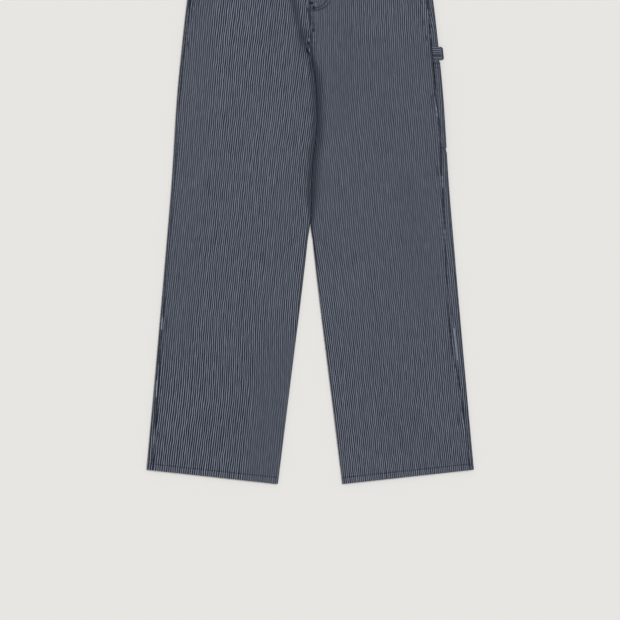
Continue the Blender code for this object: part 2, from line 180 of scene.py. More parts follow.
MOUTH_FROM_FOLD = 52.0
FACING_UNDERLAP = 14.0
MOUTH_END = {RIGHT: 205.0, LEFT: 184.0}
MOUTH_ROWS = (2.5, 9.0)

REACH_UNDER_LEG = 130.0
LIFT_FADES_BY = 148.0
POCKET_TOP = 292.0
POCKET_BOTTOM = 455.0
POCKET_LIFT = CLOTH + LAYER_GAP
POCKET_ROWS = (3.5, 11.0)
LOOP_TOP = 265.0
LOOP_WIDTH = 24.0
LOOP_WALL = 1.8
LOOP_STANDS_OUT = 8.0
LOOP_LIFT = LOOP_WALL + LAYER_GAP

MIDDLE_DOWN = (HEM_DOWN + HEM_LEAN - BACK_RISE) / 2
print("from the waist to the hem, along a side fold:", HEM_DOWN, "mm")


# %% Tables of the outline, the seams and the heights
def table(kind, *rows):
    """A table whose rows name their numbers."""
    return tuple(kind(*row) for row in rows)


Outline = namedtuple("Outline", "down half_width")
OUTLINE = table(
    Outline,
    (0, 207.0),
    (40, 212.0),
    (175, 233.3),
    (260, 243.0),
    (365, 253.0),
    (517, 262.6),
    (669, 275.2),
    (821, 288.4),
    (973, 302.0),
    (HEM_DOWN, 310.6),
)

Meeting = namedtuple("Meeting", "down middle opening")
MEETING = table(
    Meeting,
    (-20, -3.0, 0.0),
    (175, -2.0, 0.0),
    (262, 0.5, 0.0),
    (289, 3.0, 0.0),
    (317, 8.0, 0.0),
    (350, 11.0, 0.0),
    (395, 12.6, 0.0),
    (430, 10.8, 0.0),
    (462, 6.8, 0.0),
    (496, 3.2, 0.0),
    (530, 2.0, 0.0),
    (566, 1.6, 0.0),
    (597, 0.4, 0.1),
    (603, 0.2, 0.8),
    (612, 0.0, 1.9),
    (631, 0.0, 4.9),
    (646, 0.0, 6.5),
    (745, 0.0, 18.0),
    (897, 0.0, 37.0),
    (HEM_DOWN + HEM_LEAN, 0.0, 61.4),
)

SideSeam = namedtuple("SideSeam", "down right left")
SIDE_SEAM = table(
    SideSeam,
    (0, 7.0, 9.0),
    (175, 5.0, 12.0),
    (270, 4.5, 13.0),
    (365, 4.5, 13.0),
    (450, 4.5, 10.0),
    (510, 4.5, 13.0),
    (630, 4.5, 17.0),
    (760, 5.0, 21.0),
    (840, 6.0, 21.0),
    (900, 8.0, 13.0),
    (985, 9.6, 9.2),
    (1030, 10.0, 9.2),
    (HEM_DOWN, 10.0, 6.8),
)

Height = namedtuple("Height", "down fold_right fold_left middle inner_right inner_left")
HEIGHT = table(
    Height,
    (0, 6.0, 6.0, 6.0, 6.0, 6.0),
    (60, 6.0, 6.0, 6.0, 6.0, 6.0),
    (150, 5.3, 5.8, 5.7, 5.8, 5.8),
    (262, 5.0, 7.0, 5.6, 6.6, 6.6),
    (310, 5.0, 7.0, 5.6, 8.6, 4.8),
    (350, 5.0, 7.0, 5.5, 9.2, 4.2),
    (470, 5.0, 7.0, 5.4, 9.0, 4.2),
    (560, 5.0, 5.4, 5.3, 7.2, 4.4),
    (640, 5.0, 5.0, 5.2, 5.2, 4.8),
    (HEM_DOWN, 5.0, 5.0, 5.0, 5.0, 5.0),
)
print("hips:", 2 * OUTLINE[2].half_width, "mm across")


# %% Curves through the tables
def curve(rows, column):
    """A function of the distance down, on a curve through one column that never overshoots."""
    downs = np.array([row.down for row in rows], float)
    values = np.array([getattr(row, column) for row in rows], float)
    spans = np.diff(downs)
    slopes = np.diff(values) / spans
    before, after = slopes[:-1], slopes[1:]
    onward = before * after > 0
    mean = 2 * before * after / np.where(onward, before + after, 1.0)
    tangents = np.concatenate([slopes[:1], np.where(onward, mean, 0.0), slopes[-1:]])

    def at(down):
        near = np.clip(down, downs[0], downs[-1])
        i = np.clip(np.searchsorted(downs, near, side="right") - 1, 0, len(spans) - 1)
        t = (near - downs[i]) / spans[i]
        return (
            values[i] * (1 + 2 * t) * (1 - t) ** 2
            + tangents[i] * spans[i] * t * (1 - t) ** 2
            + values[i + 1] * t * t * (3 - 2 * t)
            + tangents[i + 1] * spans[i] * t * t * (t - 1)
        )

    return at


def ease(start, end, value):
    """0 before start, 1 after end, and smooth between."""
    t = np.clip((value - start) / (end - start), 0.0, 1.0)
    return t * t * (3 - 2 * t)


def shares(count, first=0):
    """A row of even shares from 0 to 1, from the first one that is wanted."""
    return np.linspace(0.0, 1.0, count)[None, first:]


def window(start, full, full_to, end, value):
    """Rises from start to full, and falls from full_to to end."""
    return ease(start, full, value) * (1 - ease(full_to, end, value))


def on_sides(rows, column=""):
    """The curves of a column that each side has for itself."""
    return {side: curve(rows, column + word) for side, word in SIDES}


half_width = curve(OUTLINE, "half_width")
middle = curve(MEETING, "middle")
opening = curve(MEETING, "opening")
side_seam = on_sides(SIDE_SEAM)
fold_height = on_sides(HEIGHT, "fold_")
inner_height = on_sides(HEIGHT, "inner_")
middle_height = curve(HEIGHT, "middle")
print("half width at the knee:", round(float(half_width(650.0)), 1), "mm")


# %% [markdown]
# ## Where a point of the cloth lies
# A leg that lies flat is a squeezed tube: the back on the ground, a round fold at each side and the
# front on top. A point is named by its side, how far in from the outer fold it is, how far down, and
# its height. Rows run level at the waist and lean with the hem lower down, so each sheet ends along its
# hem.

# %% Places on a leg
def meeting_x(side, down):
    """Where this side's panels end at the centre seam or the inner fold."""
    return middle(down) + side * (opening(down) + SEAM_GAP / 2)


def lean(down):
    return HEM_LEAN * np.maximum(0.0, (down - LEAN_FROM) / (HEM_DOWN - LEAN_FROM))


def row_width(side, down):
    return np.abs(meeting_x(side, down + lean(down)) - side * half_width(down))


def place(side, from_fold, down, height, shift):
    """Points in metres. shift is how far the waist's middle dips (+) or rises (-)."""
    start = side * half_width(down)
    end = meeting_x(side, down + lean(down))
    part = from_fold / row_width(side, down)
    x = start + (end - start) * part
    across = np.maximum(0.0, 1 - (x / half_width(down)) ** 2)
    fade = 1 - ease(BAND_HEIGHT, DIP_FADES_AT, down)
    low = down + lean(down) * part + shift * across * fade
    return np.stack(np.broadcast_arrays(x, MIDDLE_DOWN - low, height), axis=-1) * MM


def roll(down):
    """0 where the panels lie flat up to the centre seam, 1 where they roll into the inner fold."""
    return ease(ROLL_FROM, ROLL_FULL, down)


def fly_lift(side, from_meeting, down):
    """The left front lies over the right one along the fly."""
    if side == RIGHT:
        return 0.0 * from_meeting * down
    reach = 1 - ease(FLY_UNDERLAP + 4, FLY_WIDTH, from_meeting)
    return (CLOTH + LAYER_GAP) * reach * (1 - ease(FLY_BOTTOM + 8, FLY_BOTTOM + 30, down))


def underlay(side, from_fold, down):
    """How far the back lies off the ground, over the tool pocket and the hammer loop."""
    if side == RIGHT:
        return 0.0 * from_fold * down
    loop_end = LOOP_TOP + LOOP_WIDTH
    over_loop = window(LOOP_TOP - 22, LOOP_TOP - 2, loop_end + 1, loop_end + 14, down)
    over_pocket = window(POCKET_TOP - 14, POCKET_TOP - 2, POCKET_BOTTOM + 2, POCKET_BOTTOM + 20, down)
    lift = np.maximum(LOOP_LIFT * over_loop, POCKET_LIFT * over_pocket)
    return lift * (1 - ease(REACH_UNDER_LEG + 2, LIFT_FADES_BY, from_fold))


def inset(side, down):
    """How far the side fold is drawn in under the tool pocket."""
    if side == RIGHT:
        return 0.0 * down
    over = window(POCKET_TOP - 12, POCKET_TOP - 1, POCKET_BOTTOM + 1, POCKET_BOTTOM + 12, down)
    return POCKET_LIFT * over


knee = place(LEFT, 100.0, 650.0, 5.0, 0.0)
print("a point at the knee:", [round(float(v), 3) for v in knee], "m")

# %% [markdown]
# ## Folds, creases and puckers
# Cloth that has seen wear and washing never lies quite flat. Long soft troughs run where the legs were
# folded and where the fork pulls, and each is given by its two ends. A seam is shorter than
# the cloth beside it, so the cloth puckers there at uneven steps. The hems twist a little and stand in
# ridges. Formulas move the sheet's own points, because bump alone would vanish at the edges and in a
# plain model.

# %% Long folds
Fold = namedtuple("Fold", "x_from down_from x_to down_to bow half_width depth")
FOLDS = table(
    Fold,
    (-34, 90, -3, 276, -12, 8, 1.5), (60, 215, 60, 330, 2, 10, 0.5), (196, 240, 178, 380, -5, 13, 0.5),
    (-168, 560, -160, 680, 3, 12, 0.5), (-250, 690, -215, 800, 6, 14, 0.4),
    (236, 800, 262, 940, -5, 12, 0.5), (-232, 850, -236, 1000, 6, 14, 0.4),
    (120, 740, 96, 880, 4, 16, 0.4),
)
FORK_HOLLOW = Fold(-22, 226, -5, 288, -2, 11.0, 0.8)
CREASES = table(
    Fold,
    (-20, 206, -64, 300, 5, 6, 0.45), (8, 200, 30, 290, -4, 6, 0.4), (-6, 258, -48, 352, 4, 7, -0.5),
    (14, 262, 52, 344, -5, 7, -0.4), (-150, 60, -120, 210, 6, 12, 0.35),
    (-96, 330, -70, 470, 8, 14, 0.4), (-146, 545, -170, 650, -4, 9, -0.4),
    (-118, 640, -146, 742, 6, 10, 0.35), (-196, 420, -176, 540, -6, 12, 0.3),
    (-262, 760, -226, 850, -4, 9, -0.35), (-180, 880, -150, 990, 5, 12, 0.3),
    (-110, 900, -134, 1040, -6, 13, -0.3), (150, 90, 132, 230, -5, 12, 0.35),
    (176, 300, 150, 400, 6, 9, -0.35), (96, 400, 84, 540, -8, 14, 0.35),
    (170, 520, 190, 640, 6, 12, 0.35), (220, 600, 236, 720, -4, 9, -0.35),
    (140, 620, 128, 760, 5, 12, 0.3), (200, 860, 182, 980, 6, 12, 0.3),
    (250, 960, 270, 1040, -3, 9, 0.3),
)


def trough(fold, x, down):
    """How deep one fold lies at each point."""
    along_x, along_down = fold.x_to - fold.x_from, fold.down_to - fold.down_from
    length = math.hypot(along_x, along_down)
    here_x, here_down = x - fold.x_from, down - fold.down_from
    t = np.clip((here_x * along_x + here_down * along_down) / length**2, 0.0, 1.0)
    sideways = (here_x * along_down - here_down * along_x) / length
    away = (sideways - fold.bow * np.sin(math.pi * t)) / fold.half_width
    return fold.depth * np.exp(-away * away) * np.sin(math.pi * t) ** 0.7


def waves(x, down):
    """The slight swell of cloth that lies loosely, as a few crossing waves."""
    swell = 0.16 * np.sin(x / 23 + 2.2 * np.sin(down / 170) + 0.4)
    swell += 0.14 * np.sin(down / 41 + 1.7 * np.sin(x / 60 + 1.0))
    swell += 0.12 * np.sin((x * 0.8 + down * 0.6) / 17 + 2.5 * np.sin(down / 97))
    swell += 0.10 * np.sin((x * 0.7 - down * 0.7) / 13 + 3.1 * np.sin(x / 71))
    return swell


print(len(FOLDS) + len(CREASES), "folds and creases placed by hand")


# %% Puckers along a seam
def uneven(along, step, seed):
    """A wave of bumps from -1 to 1 whose spacing and height keep changing."""
    phase = along / step * 2 * math.pi
    phase = phase + 1.3 * np.sin(along / (3.1 * step) + seed)
    phase = phase + 0.9 * np.sin(along / (7.3 * step) + 2 * seed)
    height = 0.55 + 0.45 * np.sin(along / (4.7 * step) + 3 * seed) * np.sin(along / (1.9 * step) + seed)
    return np.sin(phase) * height


def beside(distance, reach):
    """1 on a line, fading to nothing on both sides."""
    return np.exp(-((distance / reach) ** 2))


Line = namedtuple("Line", "height reach")
Pucker = namedtuple("Pucker", "height step reach")


def line_of(line, distance):
    """A soft groove (-) or ridge (+) along a line."""
    return line.height * beside(distance, line.reach)


def puckers(pucker, along, distance, seed):
    """Uneven bumps along a line."""
    return pucker.height * uneven(along, pucker.step, seed) * beside(distance, pucker.reach)


print("a groove is half as deep", round(math.sqrt(math.log(2)), 2), "of its reach away")

# %% Side seam and hem
SEAM_GROOVE = Line(-0.35, 1.8)
SEAM_PUCKER = Pucker(0.30, 11.5, 4.0)
HEM_GROOVE = Line(-0.6, 1.2)
HEM_PUCKER = Pucker(0.18, 9.5, 5.0)
HEM_TWIST = 0.30
HEM_TWIST_STEP = 8.5
HEM_TWIST_LEAN = 0.8


def side_seam_relief(side, from_seam, down):
    """The groove of the side seam, with small puckers on both sides of it."""
    both_sides = np.abs(from_seam) - 2.5
    return line_of(SEAM_GROOVE, from_seam) + puckers(SEAM_PUCKER, down, both_sides, 1.0 + side)


def hem_relief(from_edge, across, seed):
    """A turned-up hem: a stitched groove and slanting ridges between it and the edge."""
    from_row = from_edge - HEM_DEPTH
    inside = window(0.5, 3.0, HEM_DEPTH - 2.5, HEM_DEPTH - 0.5, from_edge)
    twist = HEM_TWIST * uneven(across + HEM_TWIST_LEAN * from_edge, HEM_TWIST_STEP, seed) * inside
    return line_of(HEM_GROOVE, from_row) + twist + puckers(HEM_PUCKER, across, from_row - 4, seed + 1)


print("puckers about every 11 mm along the side seams and 9 mm along the hems")

# %% [markdown]
# ## Dents beside the seams
# Where a seam pulls, the cloth next to it shows short dents and a few sharp ridges, and no two are
# alike. So each one is a short stroke with its own place, width and depth: x and down of both ends,
# half its width, and its depth, which is negative for a ridge.

# %% Dents and small ridges
Stroke = namedtuple("Stroke", "x_from down_from x_to down_to half_width depth")
FORK_STROKES = table(
    Stroke,
    (-0.9, 168, -0.8, 180, 1.3, 0.9), (-0.8, 179.8, 3.4, 179.8, 2.1, 1.9),
    (-0.7, 182, -0.6, 188, 1.3, 0.9), (5.4, 187, 5.6, 190.5, 2, 1.3), (-4, 193, -2.2, 207, 1.7, 0.9),
    (-2, 205, -0.6, 221, 1.6, 0.6), (3.2, 208, 4, 220, 1.4, 0.5), (6, 222, 5.4, 229, 1.5, 0.5),
    (4.9, 230.5, 4.9, 234, 1.6, 1.4), (1.6, 237.5, -1.4, 244.5, 1.6, 1.05),
    (-4.6, 236, -5, 243, 1.6, 0.5), (2.6, 244, 3, 254, 1.7, 1), (-4.4, 254, 0.9, 266, 1.8, 1.1),
    (0.9, 265, 1.4, 273, 1.7, 1.05), (-6.6, 266, -5.6, 273, 1.9, 0.9), (-5, 273.5, 1, 281.5, 2.1, 1.25),
    (-1.4, 284, 0.2, 294, 1.7, 0.8), (3, 283, 3.2, 291, 1.6, 0.9), (4.8, 291.5, 5.2, 297, 1.5, 0.6),
    (0.6, 293.5, 2.4, 303, 1.7, 0.6), (2.4, 302, 5.6, 314, 1.8, 0.5), (9.8, 180, 10, 185, 1.3, -0.6),
    (2.8, 188.5, 3, 192, 1.3, -0.6), (-0.4, 226, -0.3, 233, 1.3, -0.7),
    (-2.4, 249.5, -0.4, 252.8, 1.4, -0.8), (-2.4, 267, -1.8, 271.5, 1.4, -0.9),
)
LEFT_SEAM_STROKES = table(
    Stroke,
    (222.2, 160, 223.4, 190, 1.6, 0.88), (225.1, 190, 225.4, 196, 1.2, 0.72),
    (227.4, 203, 227.7, 213, 1.1, 0.64), (228.5, 215, 229.1, 226, 1.1, 0.56),
    (225.5, 222, 225.6, 239, 1.2, 0.88), (215.7, 214, 215.8, 222, 1.2, 0.64),
    (208.4, 191, 208.5, 201, 1.2, 0.56), (211.4, 177, 211.5, 183, 1.1, 0.40),
    (220.4, 243, 220.8, 251, 1.4, 0.72), (227.8, 249, 228.9, 264, 1.7, 0.88),
    (228.9, 267, 229.2, 281, 3, 0.48), (230.6, 284, 232.6, 292, 1.4, 0.72),
    (232.7, 292, 233.2, 303, 1.3, 1.04), (233.6, 304, 235, 328, 1.3, 0.88),
    (234.4, 327, 235.8, 357, 1.7, 0.88), (230.2, 355, 230.7, 378, 1.3, 0.64),
    (244.3, 397, 244.8, 415, 1.2, 0.56), (246.2, 446, 247.7, 502, 1.6, 0.88),
    (241.3, 488, 241.5, 509, 1.3, 0.64), (248, 457.4, 258.5, 457.6, 1.1, 0.80),
    (251.1, 533, 253.4, 570, 1.4, 0.88), (253.4, 574, 255.3, 606, 1.4, 0.64),
    (256.5, 664, 257.4, 684, 1.3, 0.64), (258.8, 755, 264.6, 811, 1.4, 0.60),
    (264.6, 811, 268.2, 850, 1.4, 0.65), (267.9, 752, 268.6, 773, 1.2, 0.56),
    (280.2, 869, 283.4, 912, 1.4, 0.80), (287.4, 938, 288, 956, 1.4, 0.85),
    (281.5, 961, 281.9, 981, 1.3, 0.64), (303, 1020, 305.6, 1044, 1.2, 0.40),
    (215, 176, 215.2, 206, 0.9, -0.36), (218.8, 196, 219.2, 232, 0.9, -0.27),
    (222.8, 197, 223.2, 210, 0.9, -0.36), (228.9, 230, 229.9, 247, 0.8, -0.45),
    (238.2, 372, 241.6, 400, 0.75, -0.85), (249.6, 509, 251.5, 530, 0.75, -0.95),
    (253.8, 611, 254.6, 631, 0.75, -0.85), (272.4, 797, 277, 836, 0.75, -0.95),
    (277, 836, 279.4, 859, 0.75, -0.85), (289.5, 970, 294.1, 1004, 0.75, -0.90),
)
RIGHT_SEAM_STROKES = table(
    Stroke,
    (-229.2, 160, -229.4, 190, 1.7, 0.80), (-221.8, 172, -222.4, 184, 1.1, 0.64),
    (-224.8, 192, -224.9, 207, 1.2, 0.80), (-231.3, 205, -231.4, 222, 1.2, 0.80),
    (-225.6, 234, -225.8, 253, 1.1, 0.56), (-231.3, 253, -231.7, 268, 1.4, 0.80),
    (-243, 300, -246, 350, 1.1, 0.30), (-248, 365, -250.2, 469, 1.1, 0.20),
    (-259, 520, -263, 600, 1.1, 0.20), (-267, 640, -271, 700, 1.1, 0.40),
    (-279, 743, -279.6, 772, 1.2, 0.72), (-274, 773, -274.1, 804, 1.3, 0.72),
    (-268.3, 783, -268.4, 798, 1.1, 0.48), (-283.2, 802, -286.6, 832, 1.2, 0.72),
    (-286.6, 832, -288.9, 865, 1.2, 0.72), (-282, 893, -282.1, 916, 1.2, 0.56),
    (-292.4, 932, -294.8, 985, 1.5, 0.85), (-287.7, 995, -287.8, 1013, 1.2, 0.64),
    (-300, 1026, -300.8, 1052, 1.4, 0.95), (-231.3, 191, -231.4, 204, 0.9, -0.54),
    (-221.8, 186, -221.9, 194, 0.9, -0.54), (-280.9, 777, -282.4, 799, 0.75, -1.00),
    (-291.1, 895, -292.7, 928, 0.75, -1.00), (-296.8, 997, -297.4, 1018, 0.9, -0.63),
)
STROKES = {RIGHT: FORK_STROKES + RIGHT_SEAM_STROKES, LEFT: FORK_STROKES + LEFT_SEAM_STROKES}


def stroke_shape(stroke, x, low):
    """1 on a short soft line between two points, fading beside it."""
    along_x, along_low = stroke.x_to - stroke.x_from, stroke.down_to - stroke.down_from
    length = math.hypot(along_x, along_low)
    here_x, here_low = x - stroke.x_from, low - stroke.down_from
    t = np.clip((here_x * along_x + here_low * along_low) / length**2, 0.0, 1.0)
    return beside(np.hypot(here_x - t * along_x, here_low - t * along_low), stroke.half_width)


def dents(side, x, low):
    """Dents and small ridges beside the seams, from the listed strokes. The deepest one counts."""
    deepest, highest = 0.0, 0.0
    for stroke in STROKES[side]:
        here = stroke.depth * stroke_shape(stroke, x, low)
        deepest, highest = np.maximum(deepest, here), np.minimum(highest, here)
    return -deepest - highest


print("strokes:", {word: len(STROKES[side]) for side, word in SIDES})


# %% [markdown]
# ## The height of the front
# The front's upper surface is the sum of its parts: the height that the solids have, the long folds,
# the slight swell, and the relief beside each seam, stitch row and edge.

# %% The fly's two rows of stitches
FlyRow = namedtuple("FlyRow", "out end")
FLY_ROWS = (FlyRow(44.0, 194.7), FlyRow(37.0, 190.6))
FLY_TURNS_AT = 163.0
FLY_TURN_SQUARENESS = 2.6
FLY_GROOVE = Line(-0.7, 1.4)
FLY_RIDGE = Pucker(0.3, 6.5, 1.6)
FLY_PUCKER = Pucker(0.2, 17, 14)


def off_fly_row(row, from_lap, down):
    """The distance to a stitch row that runs down and then turns to the centre in a squarish curve."""
    n = FLY_TURN_SQUARENESS
    drop = row.end - FLY_TURNS_AT
    out_share = np.maximum(from_lap, 0.01) / row.out
    down_share = np.maximum(down - FLY_TURNS_AT, 0.0) / drop
    ring = (out_share**n + down_share**n) ** (1 / n)
    steepness = np.hypot(out_share ** (n - 1) / row.out, down_share ** (n - 1) / drop) * ring ** (1 - n)
    return (ring - 1) / np.maximum(steepness, 0.002)


print("the fly's rows end", [row.end for row in FLY_ROWS], "mm down")

# %% The front's height
CENTRE_ROWS = (1.6, 7.6)
CENTRE_ROWS_END = (262, 272)
CENTRE_GROOVE = Line(-0.25, 1.2)
CENTRE_SEAM = Line(-0.5, 1.8)
CENTRE_PUCKER = Pucker(0.4, 13.0, 7.0)
SLOPE_BY_FOLD = (5, 45)
SLOPE_TO_INNER_FOLD = {RIGHT: 62, LEFT: 24}
HEM_RISE = 0.6
DENT_HEIGHT = 0.6


def base_height(side, from_fold, down):
    """The front's height in the solids."""
    width = row_width(side, down)
    from_meeting = width - from_fold
    at_middle = middle_height(down)
    at_fold = (fold_height[side](down) - at_middle) * (1 - ease(*SLOPE_BY_FOLD, from_fold))
    inner = inner_height[side](down)
    near_inner = 1 - ease(inner / 2, SLOPE_TO_INNER_FOLD[side], np.maximum(0.0, from_meeting))
    at_inner = (inner - at_middle) * near_inner
    crest = 0.0
    if side == LEFT:
        away = (from_meeting - CREST_FROM_EDGE) / CREST_SPREAD
        crest = CREST_RISE * np.exp(-away * away) * window(250, 340, 470, 610, down)
    hem = HEM_RISE * ease(HEM_DOWN - HEM_DEPTH - 1.0, HEM_DOWN - HEM_DEPTH, down)
    return at_middle + at_fold + at_inner + crest + fly_lift(side, from_meeting, down) + hem


def across_at(side, from_fold, down):
    """The x of a point on a leg, and how far down it really lies."""
    start = side * half_width(down)
    part = from_fold / row_width(side, down)
    return start + (meeting_x(side, down + lean(down)) - start) * part, down + lean(down) * part


def loose_relief(side, from_fold, down):
    """The long folds and the slight swell."""
    x, _ = across_at(side, from_fold, down)
    deep = sum(trough(fold, x, down) for fold in FOLDS + CREASES)
    if side == RIGHT:
        deep = deep + trough(FORK_HOLLOW, x, down)
    return (waves(x, down) - deep) * ease(4, 16, from_fold)


def seam_relief(side, from_fold, down):
    """The grooves, puckers and ridges beside seams, stitch rows and hems."""
    x, _ = across_at(side, from_fold, down)
    from_meeting = row_width(side, down) - from_fold
    relief = side_seam_relief(side, from_fold - side_seam[side](down), down)
    relief = relief + hem_relief(HEM_DOWN - down, x, 2.0 + side)
    fly_end = FLY_ROWS[0].end
    near_fly = 1 - ease(fly_end + 4, fly_end + 14, down)
    from_lap = from_meeting + FLY_LAP
    if side == LEFT:
        for row in FLY_ROWS:
            off_row = off_fly_row(row, from_lap, down)
            ridge = puckers(FLY_RIDGE, down + from_lap, np.abs(off_row) - 3.2, row.out)
            relief = relief + (line_of(FLY_GROOVE, off_row) + ridge) * near_fly
        relief = relief + puckers(FLY_PUCKER, down, from_lap - 14, 4.0) * near_fly
        below_fly = window(fly_end, fly_end + 4, *CENTRE_ROWS_END, down)
        for out in CENTRE_ROWS:
            relief = relief + line_of(CENTRE_GROOVE, from_meeting - out) * below_fly
    centre = puckers(CENTRE_PUCKER, down, from_meeting - 5, 6.0 + side) + line_of(CENTRE_SEAM, from_meeting)
    return relief + centre * window(fly_end - 6, fly_end + 8, 262, 300, down)


def top_relief(side, from_fold, down):
    """All that the sheet adds to the solids' height."""
    dent = DENT_HEIGHT * dents(side, *across_at(side, from_fold, down))
    return loose_relief(side, from_fold, down) + seam_relief(side, from_fold, down) + dent


def top_height(side, from_fold, down):
    return base_height(side, from_fold, down) + top_relief(side, from_fold, down)


print("the front at the thigh:", round(float(top_height(LEFT, 120.0, 450.0)), 2), "mm high")

# %% [markdown]
# ## Where washing fades the cloth, and where shade is painted
# Washing rubs the dye off the ridges, so a number for wear follows the relief. The same number paints
# shade into the colour: darker in the grooves, the hollows and along the stitches, and in the dark
# band beside each inner fold and along its edge.

# %% Worn ridges, and painted shade in grooves
# How dark the painted shade is: on the turned inner edge, in the long fold and the fork's hollow, in the
# dents, along the fly's rows, and at the outer and inner edges.
TURNED_EDGE_SHADE = 1.05
FOLD_SHADE = 1.02
HOLLOW_SHADE = 0.72
STROKE_SHADE = 1.5
STITCH_SHADE = 0.9
HEM_PALER = 0.12
OUTER_EDGE_SHADE = {RIGHT: 0.25, LEFT: 0.7}
INNER_EDGE_SHADE = {RIGHT: 1.05, LEFT: 1.4}
INNER_EDGE_DARK_TO = {RIGHT: 830.0, LEFT: 704.0}
RIGHT_SEAM_PALER = 0.4

# The band of painted shade beside the inner fold: how dark, where it starts and ends, and how far in it
# reaches. It narrows towards the place where the legs part.
Band = namedtuple("Band", "shade start full full_to end from_edge reach narrower")
PAINTED_SHADE_BAND = {
    RIGHT: Band(1.5, 270, 304, 590, 614, -1.0, 17.0, 11.5),
    LEFT: Band(1.12, 258, 292, 584, 616, 2.5, 11.5, 7.0),
}
LEFT_BAND_WIDER = 6.5


def paler_seam(side, from_fold, down):
    """Makes the cloth along the right side seam paler below the hip, so that the seam's groove, darkened by
    painted shade and by its own shadow, hardly shows.
    """
    if side == LEFT:
        return 0.0 * from_fold * down
    from_seam = from_fold - side_seam[side](down)
    return RIGHT_SEAM_PALER * beside(from_seam, 2.4) * window(250, 400, 800, 860, down)


def stitch_shade(from_lap, down):
    """Darkens the cloth along the fly's two rows in dashes: the dark of the navy thread, and painted shade
    in the stitched groove.
    """
    dash = 0.65 + 0.35 * np.sin(2 * math.pi * (down - from_lap) / 3.9)
    rows = sum(beside(off_fly_row(row, from_lap, down), 1.5) for row in FLY_ROWS)
    return rows * dash * (1 - ease(FLY_ROWS[0].end + 2, FLY_ROWS[0].end + 8, down))


def fade_and_painted_shade(side, from_fold, down):
    """How much paler (+) or darker (-) the cloth is: ridges fade with washing, and the dark in grooves,
    dents, folds and bands is painted shade.
    """
    x, low = across_at(side, from_fold, down)
    from_meeting = row_width(side, down) - from_fold
    # Grooves, dents and stitch rows are darkened with painted shade. Ridges come out paler, as washing
    # wears them.
    wear_and_shade = seam_relief(side, from_fold, down) + STROKE_SHADE * dents(side, x, low)
    wear_and_shade = wear_and_shade + HEM_PALER * ease(HEM_DOWN - HEM_DEPTH + 1, HEM_DOWN - HEM_DEPTH + 3, down)
    wear_and_shade = wear_and_shade + paler_seam(side, from_fold, down)
    band = PAINTED_SHADE_BAND[side]
    reach = band.reach - band.narrower * ease(545, 590, low)
    if side == LEFT:
        reach = reach + LEFT_BAND_WIDER * ease(280, 320, low)
        wear_and_shade = wear_and_shade - STITCH_SHADE * stitch_shade(from_meeting + FLY_LAP, down)
    else:
        # Painted shade in the long soft fold and in the fork's hollow.
        wear_and_shade = wear_and_shade - FOLD_SHADE / FOLDS[0].depth * trough(FOLDS[0], x, down)
        wear_and_shade = wear_and_shade - HOLLOW_SHADE / FORK_HOLLOW.depth * trough(FORK_HOLLOW, x, down)
    # Painted shade in the band beside the inner fold, and on the very edge of the fold.
    in_band = (1 - ease(band.from_edge, reach, from_meeting)) * window(*band[1:5], low)
    dark_to = INNER_EDGE_DARK_TO[side]
    at_edge = (1 - ease(1.5, 4.5, from_meeting)) * window(592, 606, dark_to - 40, dark_to, low)
    return wear_and_shade - band.shade * in_band - INNER_EDGE_SHADE[side] * at_edge


# Prints the value of wear and painted shade three millimetres in from the left inner fold.
print("wear and painted shade beside the inner fold:", round(float(fade_and_painted_shade(LEFT, row_width(LEFT, 450.0) - 3, 450.0)), 2))

# %% Faint and bold patches
Patch = namedtuple("Patch", "share_from share_to share_ease down_from down_to down_ease change")
PATCHES = {
    RIGHT: (
        Patch(-0.10, 0.24, 0.10, -20, 850, 90, -0.32),
        Patch(0.24, 0.66, 0.10, -20, 320, 60, 0.22),
        Patch(0.12, 0.62, 0.12, 900, 1120, 80, 0.20),
        Patch(0.74, 1.10, 0.16, 810, 1120, 90, -0.58),
        Patch(0.72, 0.88, 0.08, 500, 800, 60, -0.18),
    ),
    LEFT: (
        Patch(-0.10, 0.66, 0.08, -20, 250, 60, 0.34),
        Patch(0.10, 0.38, 0.07, 500, 760, 70, -0.32),
        Patch(0.74, 0.90, 0.06, 290, 420, 40, -0.50),
        Patch(0.86, 1.10, 0.06, 480, 540, 40, -0.35),
        Patch(0.86, 1.10, 0.06, 640, 1120, 80, 0.20),
    ),
}


def soft_window(start, end, soft, value):
    """1 between start and end, with both edges softened over the same width."""
    return window(start - soft / 2, start + soft / 2, end - soft / 2, end + soft / 2, value)


def boldness(side, from_fold, down):
    """How boldly the stripes show. Wear and handling make them fainter in broad patches."""
    share = from_fold / row_width(side, down)
    bold = 1.0
    for patch in PATCHES[side]:
        in_share = soft_window(patch.share_from, patch.share_to, patch.share_ease, share)
        in_down = soft_window(patch.down_from, patch.down_to, patch.down_ease, down)
        bold = bold + patch.change * in_share * in_down
    return bold


print("patches:", {word: len(PATCHES[side]) for side, word in SIDES})

# %% [markdown]
# ## Making a sheet of cloth
# Each piece starts as a flat grid. Its points are then laid on the form, and Solidify gives the cloth
# its thickness on the inner side, as the solids have it. The grid keeps a map of the cloth as it was
# cut, in metres along and across the grain, because stripes and weave follow the cloth and not the
# room. Two more values lie on each sheet. One is for wear and painted shade: high on ridges, which
# washing fades, and low in grooves, folds, hollows and along edges, where it paints shade into the
# colour. "bold" says how plainly the stripes show, because handling blurs them in broad patches.

# %% Grain
GRAIN_SLANT = math.radians(6.2)
LEG_CENTRE = 0.145
STRIPE_PITCH = 4.0

